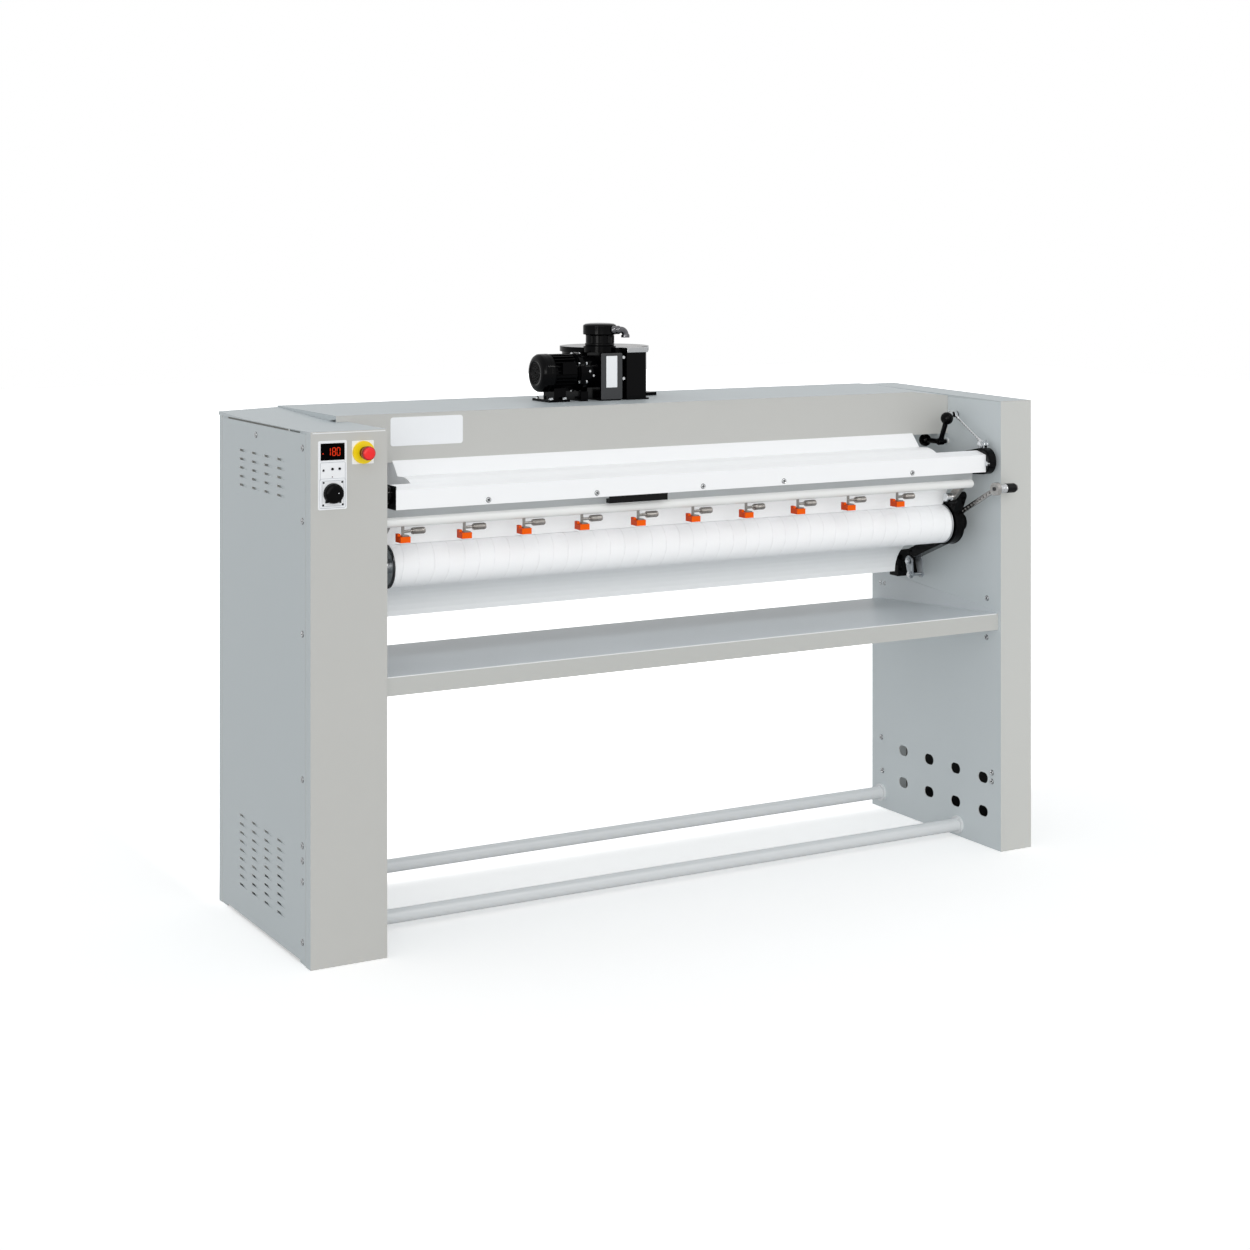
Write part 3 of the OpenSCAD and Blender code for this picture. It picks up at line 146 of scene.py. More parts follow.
def new_mesh(name, points, faces, smooth=False):
    """Mesh object from an array of points and lists of corner numbers, shown smooth or faceted."""
    mesh = bpy.data.meshes.new(name)
    mesh.from_pydata(np.asarray(points, float).reshape(-1, 3).tolist(), [],
        [list(map(int, face)) for face in faces])
    mesh.polygons.foreach_set("use_smooth", np.full(len(mesh.polygons), smooth))
    mesh.update()
    piece = bpy.data.objects.new(name, mesh)
    bpy.context.scene.collection.objects.link(piece)
    return piece


FLOOR_REACH, FLOOR_DROP = 14, 0.0004
span = np.linspace(-FLOOR_REACH, FLOOR_REACH, 3)
ground = np.stack(np.meshgrid(span, span + 3, [-FLOOR_DROP], indexing="ij"), -1)
floor = new_mesh("floor", ground, sheet_faces(3, 3))
floor_finish = bpy.data.materials.new("white_floor")
tree, out = clear_tree(floor_finish)
path = put(tree, "LightPath").outputs
# Seen directly, the paper is lit up to white, most of all far behind the machine; its shadow stays.
place = put(tree, "SeparateXYZ", {0: object_place(tree)}).outputs
behind = maths(tree, "MULTIPLY", remap(tree, place["Y"], 0.16, 0.3, kind=SMOOTH),
               remap(tree, place["X"], -0.95, -0.8, kind=SMOOTH))
extra = maths(tree, "MULTIPLY_ADD", behind, 0.6, 0.28)
paper = put(tree, "BsdfDiffuse", {"Color": (0.78, 0.78, 0.78, 1)})
lit = put(tree, "BsdfDiffuse", {"Color": WHITE})
lift = put(tree, "Emission", {"Color": WHITE, "Strength": extra})
bright = put(tree, "AddShader", {0: lit.outputs[0], 1: lift.outputs[0]})
both = put(tree, "MixShader", {0: path["Is Camera Ray"], 1: paper.outputs[0],
    2: bright.outputs[0]})
tree.links.new(both.outputs[0], out.inputs["Surface"])
floor.data.materials.append(floor_finish)


# Cabinet shells, side panels and top covers.
# Folded 1.5 mm steel sheet, spot welded and powder coated light grey, with a slight orange peel.
# The side panels are screwed to lips behind the shells' flanges.
def effect(name, inputs):
    """Empty node group with named inputs and the outputs that every surface uses."""
    tree = bpy.data.node_groups.new(name, "ShaderNodeTree")
    for label, value in inputs.items():
        kind = "NodeSocketColor" if isinstance(value, tuple) else "NodeSocketFloat"
        tree.interface.new_socket(label, in_out="INPUT", socket_type=kind).default_value = value
    for label, kind in (("Colour", "Color"), ("Roughness", "Float"), ("Height", "Float")):
        tree.interface.new_socket(label, in_out="OUTPUT", socket_type="NodeSocket" + kind)
    given = tree.nodes.new("NodeGroupInput").outputs
    return tree, given, tree.nodes.new("NodeGroupOutput").inputs


def make(tree, made, colour, roughness, height):
    """Connects an effect's three outputs."""
    for label, socket in (("Colour", colour), ("Roughness", roughness), ("Height", height)):
        tree.links.new(socket, made[label])


def shade(tree, colour, amount):
    """Colour made darker or lighter by a factor of one plus the amount."""
    factor = maths(tree, "ADD", amount, 1)
    scaled = put(tree, "VectorMath", {0: colour, "Scale": factor}, operation="SCALE")
    return scaled.outputs["Vector"]


def swing(tree, value, middle, size):
    """A 0 to 1 pattern moved to swing by size to both sides of zero, round its middle."""
    return maths(tree, "MULTIPLY", maths(tree, "SUBTRACT", value, middle), size)


def blend(tree, share, one, other):
    """Colour between two."""
    return put(tree, "Mix", {"Factor": share, "A": one, "B": other},
               data_type="RGBA").outputs["Result"]


def facing(tree):
    """The three parts of the surface's direction."""
    return put(tree, "SeparateXYZ", {0: put(tree, "NewGeometry").outputs["Normal"]}).outputs


MIDDLE_GREY = (0.5, 0.5, 0.5, 1)

# Coat: fine peel in the height, broad unevenness and faint handling marks in colour and roughness.
# Painted light: faces turned to the sides can take another colour (Aside), a lighter or darker
# copy of the coat painted for how light falls on them, and tops are painted lighter. Faces that
# look to the left can take another colour again (Inside), as painted shade.
coat, given, made = effect("coat", {
    "Colour": MIDDLE_GREY, "Aside": MIDDLE_GREY, "Inside": MIDDLE_GREY, "Roughness": 0.4,
    "Grain": 700, "Unevenness": 0.03, "Marks": 0.05})
where = object_place(coat)
peel = noise(coat, where, given["Grain"], 2)
broad = noise(coat, where, 2.3, 3)
hands = noise(coat, where, 21, 6, 0.7)
tone = maths(coat, "ADD", swing(coat, broad, 0.5, given["Unevenness"]),
             swing(coat, peel, 0.5, given["Unevenness"]))
tone = maths(coat, "ADD", tone, swing(coat, hands, 0.5, 0.02))
way = facing(coat)
# Painted light: faces that look up are painted up to 14 % lighter.
tone = maths(coat, "ADD", tone, remap(coat, way["Z"], 0.8, 0.98, 0, 0.14))
# Painted light and shade: faces turned aside blend to the side colour, and faces that look left
# blend to the left colour.
shaded_hue = blend(coat, remap(coat, way["Y"], -0.9, -0.5), given["Colour"], given["Aside"])
shaded_hue = blend(coat, remap(coat, way["X"], -0.9, -0.95), shaded_hue, given["Inside"])
make(coat, made, shade(coat, shaded_hue, tone),
     maths(coat, "ADD", given["Roughness"], swing(coat, hands, 0.5, given["Marks"])), peel)


def surface(name, group, values, depth, distance, **shader):
    """Material from one effect: its colour and roughness, and its height as a bump. A colour is
    given as on a screen, from 0 to 255."""
    finish = bpy.data.materials.new(name)
    tree, out = clear_tree(finish)
    work = put(tree, "Group", node_tree=group)
    colour = values["Colour"]
    for label, value in values.items():
        work.inputs[label].default_value = srgb(*value) if isinstance(value, tuple) else value
    look = work.outputs
    bump = put(tree, "Bump", {"Height": look["Height"], "Strength": depth, "Distance": distance})
    values = {"Base Color": look["Colour"], "Roughness": look["Roughness"],
              "Normal": bump.outputs["Normal"]}
    body = put(tree, "BsdfPrincipled", values)
    for label, value in shader.items():
        body.inputs[label.replace("_", " ")].default_value = value
    tree.links.new(body.outputs[0], out.inputs["Surface"])
    finish.diffuse_color = srgb(*colour)
    return finish


def coated(name, colour, roughness=0.42, unevenness=0.03, marks=0.06, grain=700, depth=0.12,
           side_shading=None, left_shading=None, **shader):
    """Painted, enamelled or moulded surface in one colour. Faces turned to the sides can be painted
    another colour as painted light or shade, and faces that look to the left can be painted dark as
    painted shade, such as the inner side of the right panel."""
    side_shading = side_shading or colour
    values = {"Colour": colour, "Aside": side_shading, "Inside": left_shading or side_shading,
              "Roughness": roughness, "Grain": grain, "Unevenness": unevenness, "Marks": marks}
    return surface(name, coat, values, depth, 0.0004, **shader)


def dress(finish, *nodes):
    """Gives CAD nodes their material."""
    for node in nodes:
        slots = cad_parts[node].data.materials
        slots.clear()
        slots.append(finish)


# The sides' cooler grey is painted light, a lit copy of the same coat.
SHEET_GREY, SHEET_SIDE_SHADING = (191, 191, 188), (184, 191, 194)
grey_coat = coated("grey_powder_coat", SHEET_GREY, side_shading=SHEET_SIDE_SHADING)
# Painted light: the right cabinet's shell is a lighter copy of the grey coat, with lighter sides,
# to lift its shaded inner face.
dress(coated("right_coat_painted_lighter", (199, 200, 197), side_shading=(200, 207, 210)), "right_cabinet_shell")
# Painted shade: the right side panel's faces that look left, seen through the holes, are painted
# near black.
dress(coated("right_panel_coat_painted_shade", SHEET_GREY, side_shading=SHEET_SIDE_SHADING, left_shading=(14, 14, 15)),
      "right_side_panel")
dress(grey_coat, "left_cabinet_shell", "left_side_panel", "top_covers", "beam_lid", "beam_shell",
      "rear_panel")


# Louvres in the left side panel.
# Each vent is a slot whose tongue is pressed inwards: flush at the front end and deep at the rear.
# The tongues are the panel's own sheet, with its coat.
ROW_STEP = 0.0182
VENT_ROWS = [top - ROW_STEP * row for top, rows in ((0.983, 5), (0.214, 9)) for row in range(rows)]
VENT_COLUMNS = [-0.088 + 0.074 * column for column in range(4)]
TONGUE_GRID = (15, 5)
PANEL_SIDE = -0.8995


def finish_piece(piece, finish, body, slot, *replaced):
    """Gives a piece its material and the body it moves with, and hides the nodes it replaces. Its
    slot is not used.
    """
    piece.data.materials.append(finish)
    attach(piece, body)
    for node in replaced:
        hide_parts(node)


def shaped(name, points, faces, finish, body, slot, *replaced, smooth=True):
    """Mesh piece with its finish."""
    finish_piece(new_mesh(name, points, faces, smooth), finish, body, slot, *replaced)


def repeated(faces, step, count):
    """Faces of equal parts whose points follow each other, step points to a part."""
    return [[corner + step * number for corner in face] for number in range(count)
            for face in faces]


def tongues(half_length=0.0229, half_height=0.0024, deepest=0.006, bulge=0.0008):
    """Points of all tongues. Along u the tongue runs from front to rear and sinks with the square
    of u; along v it fills the slot, whose round ends narrow it as a circle does."""
    rows, columns = TONGUE_GRID
    u, v = np.meshgrid(np.linspace(0, 1, rows), np.linspace(-1, 1, columns), indexing="ij")
    y = half_length * (2 * u - 1)
    past_end = np.clip((np.abs(y) - half_length + half_height) / half_height, 0, 1)
    z = half_height * np.sqrt(1 - past_end ** 2) * v
    x = PANEL_SIDE + deepest * u ** 2 + bulge * (1 - v ** 2) * u
    centres = np.array([(0, y0, z0) for z0 in VENT_ROWS for y0 in VENT_COLUMNS])
    return centres[:, None, None, :] + np.stack([x, y, z], -1)


points = tongues()
faces = repeated(sheet_faces(*TONGUE_GRID)[:, ::-1], math.prod(TONGUE_GRID), len(points))
shaped("louvre_tongues", points, faces, grey_coat, "frame", "grey_paint")


# Screws of the panels, covers and cabinets.
# Zinc-plated pan-head screws with a cross recess, each left at its own angle by the driver.
# They replace the plain heads on the side panels and on the cover.
brushed, given, made = effect("brushed", {
    "Colour": (0.6, 0.6, 0.6, 1), "Roughness": 0.3, "Along X": 30, "Along Y": 900,
    "Along Z": 900, "Contrast": 0.12})
where = object_place(brushed)
stretch = put(brushed, "CombineXYZ", {axis: given["Along " + axis] for axis in "XYZ"})
lines = put(brushed, "VectorMath", {0: where, 1: stretch.outputs[0]}, operation="MULTIPLY")
lines = noise(brushed, lines.outputs[0], 1, 3)
stain = noise(brushed, where, 14, 5)
tone = maths(brushed, "ADD", swing(brushed, lines, 0.5, given["Contrast"]),
             swing(brushed, stain, 0.5, given["Contrast"]))
# Painted shade: the metal is made darker where the screw heads' attribute marks the cross recess
# and the rim.
recess_shade = put(brushed, "Attribute", attribute_name="recess_shade").outputs["Fac"]
tone = maths(brushed, "MULTIPLY_ADD", recess_shade, -0.8, tone)
make(brushed, made, shade(brushed, given["Colour"], tone),
     maths(brushed, "ADD", given["Roughness"], swing(brushed, stain, 0.5, 0.25)), lines)


def bare_metal(name, colour, roughness=0.3, lines=(30, 900, 900), contrast=0.12, depth=0.08):
    """Bare or plated metal. Its lines run along the axis with the smallest number."""
    along = {"Along " + axis: scale for axis, scale in zip("XYZ", lines)}
    values = {"Colour": colour, "Roughness": roughness, "Contrast": contrast, **along}
    return surface(name, brushed, values, depth, 0.0002, Metallic=1)


def full_turn(count):
    """Equal angles round a full turn."""
    return np.linspace(0, 2 * np.pi, count, endpoint=False)


def ring_walls(rings, turns):
    """Faces between neighbouring rings of points round an axis."""
    corner = np.arange(rings * turns).reshape(rings, turns)
    after = np.roll(corner, -1, axis=1)
    return np.stack([corner[:-1], after[:-1], after[1:], corner[1:]], -1).reshape(-1, 4)


HEAD_RINGS = (0, .12, .2, .27, .34, .42, .5, .58, .66, .76, .86, .94, 1)


def pan_heads(name, centres, outward, finish, body, *replaced, radius=0.006, height=0.0024,
              seed=3):
    """Pan-head screws on faces with one outward normal, as one mesh. Over radius r and angle a the
    head is a flat dome whose rim falls as a fourth power, less a cross recess that is cut in two
    arms. How far a point lies in the recess, or near the rim, is kept as an attribute, and the
    metal is painted darker there as painted shade."""
    r, a = np.meshgrid(HEAD_RINGS, full_turn(40), indexing="ij")
    p, q = np.abs(r * np.cos(a)), np.abs(r * np.sin(a))
    arms = [np.minimum(np.clip((0.15 - side) / 0.06 + 0.5, 0, 1), np.clip((0.6 - end) / 0.08, 0, 1))
            for side, end in ((p, q), (q, p))]
    cross = np.maximum(*arms)
    turn = np.random.default_rng(seed).uniform(0, np.pi, len(centres))[:, None, None]
    parts = [radius * r * np.cos(a + turn), radius * r * np.sin(a + turn)]
    axis = np.abs(np.array(outward)).argmax()
    rise = outward[axis] * height * ((1 - r ** 4) ** 0.5 - 0.75 * cross)
    parts.insert(axis, np.broadcast_to(rise, parts[0].shape))
    points = np.asarray(centres)[:, None, None, :] + np.stack(parts, -1)
    faces = ring_walls(*r.shape)
    faces = faces[:, ::-1] if outward[axis] > 0 else faces
    heads = new_mesh(name, points, repeated(faces, r.size, len(centres)), True)
    # Painted shade: the cross recess and the rim's edge are marked to be painted darker.
    depth = np.maximum(cross, 0.85 * np.clip((r - 0.8) / 0.15, 0, 1))
    depth = np.broadcast_to(depth, parts[0].shape).ravel()
    heads.data.attributes.new("recess_shade", "FLOAT", "POINT").data.foreach_set("value", depth)
    finish_piece(heads, finish, body, "zinc_screws", *replaced)


zinc = bare_metal("zinc_plate", (206, 208, 210), 0.2, (500, 500, 500), 0.25)
side_places = [(-0.207, z) for z in (0.044, 0.163, 0.204, 0.234, 0.364, 0.65, 0.872, 1.016)]
side_places.append((0.057, 1.022))
inner_places = [(0.205, 0.565), (0.221, 0.565), (-0.199, 0.584), (-0.197, 0.492), (0.2195, 0.176),
                (0.215, 0.093), (-0.217, 0.178), (-0.217, 0.157)]
cover_places = [(-0.9 + step, -0.232, 0.894) for step in (0.394, 0.647, 0.908, 1.117, 1.468)]
pan_heads("panel_screw_heads_left", [(-0.9, *place) for place in side_places], (-1, 0, 0), zinc,
          "frame", "panel_screws", radius=0.0068)
pan_heads("panel_screw_heads_right", [(0.9, *place) for place in side_places], (1, 0, 0), zinc,
          "frame", radius=0.0068, seed=4)
pan_heads("inner_screw_heads", [(0.81, *place) for place in inner_places], (-1, 0, 0), zinc,
          "frame", radius=0.0065, height=0.003, seed=8)
pan_heads("cover_screw_heads", cover_places, (0, -1, 0), zinc, "shoe", "cover_screws", seed=5)
dress(zinc, "panel_screws", "cover_screws")


# Base trays, beam tubes and floor tubes.
# The trays and the square tubes inside the beam are plain rolled steel; the round floor tubes
# between the cabinets are coated like the sheets.
rolled_steel = bare_metal("rolled_steel", (150, 152, 154), 0.45, (12, 160, 160), 0.2)
dress(coated("floor_tube_coat", (214, 217, 219), 0.3, 0.03, 0.08), "floor_tubes")
dress(rolled_steel, "base_trays", "beam_tubes")


# Shelf, chute and hood.
# The shelf is one folded tray in the cabinets' grey; the chute under the roll and the hood above
# the shoe are white enamelled sheet, smoother than the powder coat.
# Painted light: the shelf's faces turned aside, its top among them, are painted a lighter, cooler
# grey than its front.
dress(coated("shelf_coat_lit_top", (190, 191, 188), 0.36, side_shading=(200, 206, 210)), "shelf")
white_enamel = coated("white_enamel", (247, 248, 250), 0.28, 0.01, 0.012, 500, 0.04)
dress(coated("chute_enamel", (252, 253, 254), 0.4, 0.01, 0.02, 500, 0.05), "chute")
dress(white_enamel, "hood")


# Roll: steel tube on journals, end rings, and the padding that the linen lies on.
# The padding is felt wound over with strips of white polyester cloth, so its surface carries the
# seams of the windings and a fine weave. It replaces the plain sleeve.
dress(bare_metal("ring_steel", (70, 70, 72), 0.28, (60, 500, 500), 0.2), "roll_rings")
dress(bare_metal("ground_steel", (196, 198, 200), 0.24, (400, 60, 60), 0.1), "roll_journals",
      "roll_bearings")
dress(rolled_steel, "roll_tube", "roll_sprocket", "drive_sprocket", "drive_chain")

low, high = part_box("roll_padding")
roll_y, roll_z = (low.y + high.y) / 2, (low.z + high.z) / 2
roll_r = (high.z - low.z) / 2
girth = 2 * math.pi * roll_r
LAP = 0.0345
CLOTH_RINGS, CLOTH_TURNS = 900, 96


def wound_cloth(seam=0.0011):
    """Points of the wound cloth, and each point's place on the flat cloth. At length x and angle a
    the radius is the roll's own, less a narrow groove each time x reaches the next lap of a shallow
    spiral, with a slight crown between laps and a fall at both ends, where the cloth is drawn in
    over the felt."""
    x, a = np.meshgrid(np.linspace(low.x, high.x, CLOTH_RINGS), full_turn(CLOTH_TURNS),
                       indexing="ij")
    wave = 0.0016 * np.sin(3 * a + 40 * x) + 0.001 * np.sin(5 * a - 23 * x)
    lap = ((x - low.x + LAP * a / (2 * np.pi) + wave) / LAP) % 1
    groove = np.exp(-(np.minimum(lap, 1 - lap) * LAP / seam) ** 2)
    crown = 0.00035 * (1 - (2 * lap - 1) ** 2)
    end = np.minimum(x - low.x, high.x - x)
    fall = 0.0022 * np.clip(1 - end / 0.006, 0, 1) ** 2
    r = roll_r - 0.0006 - 0.0005 * groove + crown - fall
    return (np.stack([x, roll_y + r * np.cos(a), roll_z + r * np.sin(a)], -1),
            np.stack([x, a * roll_r], -1))


def tube_faces(rings, turns, closed=False):
    """Faces of a tube of rings round an axis, with its two end faces, or closed on itself."""
    if closed:
        return (ring_walls(rings + 1, turns) % (rings * turns)).tolist()
    first, last = list(range(turns)), list(range((rings - 1) * turns, rings * turns))
    return ring_walls(rings, turns).tolist() + [first[::-1], last]


points, flat = wound_cloth()
cloth_roll = new_mesh("wound_roll_cloth", points, tube_faces(CLOTH_RINGS, CLOTH_TURNS), True)
layer = cloth_roll.data.uv_layers.new(name="cloth")
corner = np.empty(len(cloth_roll.data.loops), int)
cloth_roll.data.loops.foreach_get("vertex_index", corner)
on_cloth = flat.reshape(-1, 2)[corner]
# The faces that close a turn end at the full girth, where their points start the next turn at 0
walls = 4 * (CLOTH_RINGS - 1) * CLOTH_TURNS
four = on_cloth[:walls].reshape(-1, 4, 2)
wraps = np.ptp(four[:, :, 1], axis=1) > girth / 2
four[wraps] = np.where(four[wraps][:, :, 1:] < 1e-9, four[wraps] + [0, girth], four[wraps])
on_cloth[:walls] = four.reshape(-1, 2)
layer.data.foreach_set("uv", on_cloth.ravel())

# Weave: two crossed sets of threads from the piece's own flat pattern, with cloudy wear
weave, given, made = effect("weave", {
    "Colour": (0.9, 0.9, 0.9, 1), "Roughness": 0.8, "Threads": 900, "Wear": 0.04,
    "Start": 0, "Lap": 0.03, "Girth": 0.3, "Seam": 0.1})
split = put(weave, "SeparateXYZ", {0: put(weave, "UVMap", uv_map="cloth").outputs["UV"]}).outputs
threads = []
for axis in "XY":
    turn = maths(weave, "MULTIPLY", split[axis], given["Threads"])
    threads.append(maths(weave, "SINE", maths(weave, "MULTIPLY", turn, 2 * math.pi)))
cross = maths(weave, "MULTIPLY", *threads)
where = object_place(weave)
cloud = noise(weave, where, 26, 5)
fuzz = noise(weave, where, 900, 2)
tone = maths(weave, "ADD", swing(weave, cloud, 0.55, given["Wear"]),
             swing(weave, cross, 0, 0.012))
# A strip's edge: where the length, moved on by the share of a turn, reaches the next lap;
# the cloth is painted darker along it, as painted shade in the seam's groove.
share = maths(weave, "DIVIDE", split["Y"], given["Girth"])
on = maths(weave, "ADD", maths(weave, "SUBTRACT", split["X"], given["Start"]),
           maths(weave, "MULTIPLY", share, given["Lap"]))
on = maths(weave, "ADD", on, swing(weave, cloud, 0.5, 0.007))
away = maths(weave, "PINGPONG", on, maths(weave, "MULTIPLY", given["Lap"], 0.5))
edge = remap(weave, away, 0.0006, 0.002, 1, 0, SMOOTH)
broken = remap(weave, noise(weave, where, 60, 3), 0.3, 0.6)
edge = maths(weave, "MULTIPLY", maths(weave, "MULTIPLY", edge, broken), given["Seam"])
tone = maths(weave, "SUBTRACT", tone, edge)
make(weave, made, shade(weave, given["Colour"], tone),
     maths(weave, "ADD", given["Roughness"], swing(weave, cloud, 0.5, 0.2)),
     maths(weave, "ADD", cross, fuzz))
cloth = {"Colour": (252, 253, 255), "Roughness": 0.75, "Threads": 850, "Wear": 0.03,
         "Start": low.x, "Lap": LAP, "Girth": girth, "Seam": 0.085}
polyester = surface("white_polyester", weave, cloth, 0.2, 0.0003, Sheen_Weight=0.15)
finish_piece(cloth_roll, polyester, "roll", "padding_cloth", "roll_padding")
dress(polyester, "roll_padding")


# Drive inside the left cabinet: gear motor, contactors and their board.
# Bought parts, painted or moulded; the contactors are pale phenolic blocks on a grey board.
dress(coated("motor_paint", (60, 64, 70), 0.45, 0.08, 0.1, 300, 0.3), "gear_motor")
dress(coated("phenolic", (222, 221, 214), 0.5, 0.05, 0.1), "contactor_board")


# Bearing arm at the roll's right end, with its link plates, and the brackets that carry the shoe.
# The arm and the shoe's end plates are grey iron castings in black paint, with a sandy skin.
cast, given, made = effect("cast_skin", {
    "Colour": (0.02, 0.02, 0.02, 1), "Roughness": 0.4, "Sand": 420, "Dust": 0.3})
where = object_place(cast)
sand = noise(cast, where, given["Sand"], 3)
pits = put(cast, "TexVoronoi", {"Vector": where, "Scale": 260}).outputs["Distance"]
dust = noise(cast, where, 34, 7, 0.65)
lying = maths(cast, "MULTIPLY", remap(cast, facing(cast)["Z"], 0.2, 1), dust)
lying = maths(cast, "MULTIPLY", lying, given["Dust"])
make(cast, made, blend(cast, lying, given["Colour"], srgb(120, 120, 118)),
     maths(cast, "ADD", given["Roughness"], swing(cast, dust, 0.5, 0.3)),
     maths(cast, "ADD", sand, pits))


def casting(name, colour, roughness=0.35, sand=420, dust=0.1, depth=0.25, **shader):
    """Painted casting with a sandy skin and dust lying on what faces up."""
    values = {"Colour": colour, "Roughness": roughness, "Sand": sand, "Dust": dust}
    return surface(name, cast, values, depth, 0.0006, **shader)


black_iron = casting("black_iron", (3, 3, 4), 0.15, dust=0.01, depth=0.06,
    Specular_IOR_Level=0.1)
dress(bare_metal("galvanised", (168, 172, 176), 0.3, (90, 90, 90), 0.7, 0.15), "arm_links")
dress(black_iron, "bearing_arm")
dress(grey_coat, "pivot_brackets")


# Ironing shoe with its heaters and the bridge behind the cover.
# A ground steel plate curved over the roll; its front lip shows as a pale strip under the cover.
# Painted reflection: the ground steel's lip is coated near white, standing in for the light it
# reflects.
dress(coated("shoe_face_painted_reflection", (253, 254, 255), 0.3, 0.02, 0.04, 500, 0.03), "ironing_shoe")
dress(coated("bridge_coat", (192, 196, 198), 0.4), "shoe_bridge")
dress(rolled_steel, "shoe_heaters")


# Controls on the left cabinet.
# A white moulded panel with a dark window and two keys, a raised plate with four screws for the
# rotary switch, and a mushroom stop button in a yellow collar, all fixed through the front sheet.
def eased(corners, soft):
    """Profile with each inner corner put on a short round: two points on both sides and one cut
    across. The round takes soft of each side, or less where the side is short."""
    corner = np.asarray(corners, float)
    side = np.diff(corner, axis=0)
    length = np.maximum(np.linalg.norm(side, axis=1, keepdims=True), 1e-9)
    way = side / length
    reach = np.minimum(soft, length / 3.5)
    reach = np.minimum(reach[:-1], reach[1:])
    before, after, middle = way[:-1] * reach, way[1:] * reach, corner[1:-1]
    rounds = np.stack([middle - 1.5 * before, middle - before, middle - 0.3 * (before - after),
                       middle + after, middle + 1.5 * after], 1)
    return np.concatenate([corner[:1], rounds.reshape(-1, 2), corner[-1:]])


PLANES = {"X": (1, 2, 0), "Y": (2, 0, 1), "Z": (0, 1, 2)}
ORIGIN = (0, 0, 0)
MM = 0.001


def profile_grid(corners, turns, soft):
    """Distance along the axis, angle and radius over a turned part, from a profile in mm."""
    profile = eased(corners, soft) * MM
    along, angle = np.meshgrid(profile[:, 0], full_turn(turns), indexing="ij")
    return along, angle, np.broadcast_to(profile[:, 1:], along.shape)


def turned_points(centre, axis, corners, turns=64, soft=0.4, swell=None, closed=False):
    """Points of a turned part. Its profile, in mm, gives distance along the axis and radius; swell
    adds to the radius by distance and angle, in metres, for lobes and ribs. A closed profile runs
    clockwise back to its first corner."""
    corners = [*corners, corners[0]] if closed else corners
    along, angle, radius = profile_grid(corners, turns, soft)
    if swell is not None:
        radius = radius + swell(along, angle)
    one, other, third = PLANES[axis]
    points = np.empty(along.shape + (3,))
    points[..., one] = centre[one] + radius * np.cos(angle)
    points[..., other] = centre[other] + radius * np.sin(angle)
    points[..., third] = centre[third] + along
    return points[:-1] if closed else points


def turned(name, centre, axis, corners, finish, body, slot, *replaced, turns=64, closed=False,
           **shape):
    """Turned piece along X, Y or Z, with its finish."""
    points = turned_points(centre, axis, corners, turns, closed=closed, **shape)
    shaped(name, points, tube_faces(len(points), turns, closed), finish, body, slot, *replaced)


def copies(name, points, places, faces, finish, body, slot, smooth=True):
    """One mesh of equal parts, each moved to its place, with its finish."""
    one = points.reshape(-1, 3)
    every = np.asarray(places)[:, None, :] + one
    shaped(name, every, repeated(faces, len(one), len(places)), finish, body, slot, smooth=smooth)


OBLONG_STEPS = 6
OBLONG = 4 * OBLONG_STEPS


def oblong(width, height, corner):
    """Outline of a rectangle with round corners, anticlockwise, centred on zero."""
    step = np.linspace(0, np.pi / 2, OBLONG_STEPS)
    angle = (step[None] + np.arange(4)[:, None] * np.pi / 2).ravel()
    quarter = np.repeat(np.array([[1, 1], [-1, 1], [-1, -1], [1, -1]]), OBLONG_STEPS, axis=0)
    middle = quarter * (np.array([width, height]) / 2 - corner)
    return middle + corner * np.stack([np.cos(angle), np.sin(angle)], -1)


label_white = coated("label_white", (238, 240, 243), 0.3, 0.01, 0.04)
trim_grey = coated("trim_grey", (176, 180, 186), 0.35, 0.02, 0.05)
# Painted shade: the stop head's faces turned aside are painted dark red.
red_plastic = coated("red_plastic", (244, 32, 36), 0.25, 0.03, 0.06, side_shading=(132, 8, 6))
dark_red_and_shade = coated("dark_red_plastic", (74, 4, 3), 0.4, 0.04, 0.08, Specular_IOR_Level=0.15)
dress(coated("yellow_plastic", (250, 216, 8), 0.35, 0.03, 0.06), "stop_ring")
dress(coated("lens_black", (2, 1, 1), 0.1, 0.02, 0.05, Specular_IOR_Level=0.03), "display_module")
dress(coated("key_grey", (30, 30, 32), 0.45, 0.05, 0.08, Specular_IOR_Level=0.15), "key_minus",
      "key_plus")
moulded_black = coated("moulded_black", (3, 3, 4), 0.14, 0.15, 0.1, 900, 0.06,
    Specular_IOR_Level=0.1)
dark_screw = bare_metal("dark_screw", (70, 70, 72), 0.35, (500, 500, 500))
dress(label_white, "control_plate", "stop_plate", "badge_plate")

PANEL_X, PANEL_FACE, SWITCH_Z = -0.8547, -0.2515, 0.929
PLATE_FACE = PANEL_FACE - 0.002
TRIM_RINGS = 4


def frame_points(width, height, corner, x, z, face, band=0.0009, proud=0.0004, sunk=0.0003):
    """Thin raised band round an oblong: four outlines, low at both edges and level between."""
    rings = []
    for inset, lift in ((0, 0), (0.15 * band, proud), (0.85 * band, proud), (band, 0)):
        flat = oblong(width - 2 * inset, height - 2 * inset, corner - inset)
        y = np.full(len(flat), face + sunk - lift - sunk * (lift > 0))
        rings.append(np.stack([x + flat[:, 0], y, z + flat[:, 1]], -1))
    return np.stack(rings)


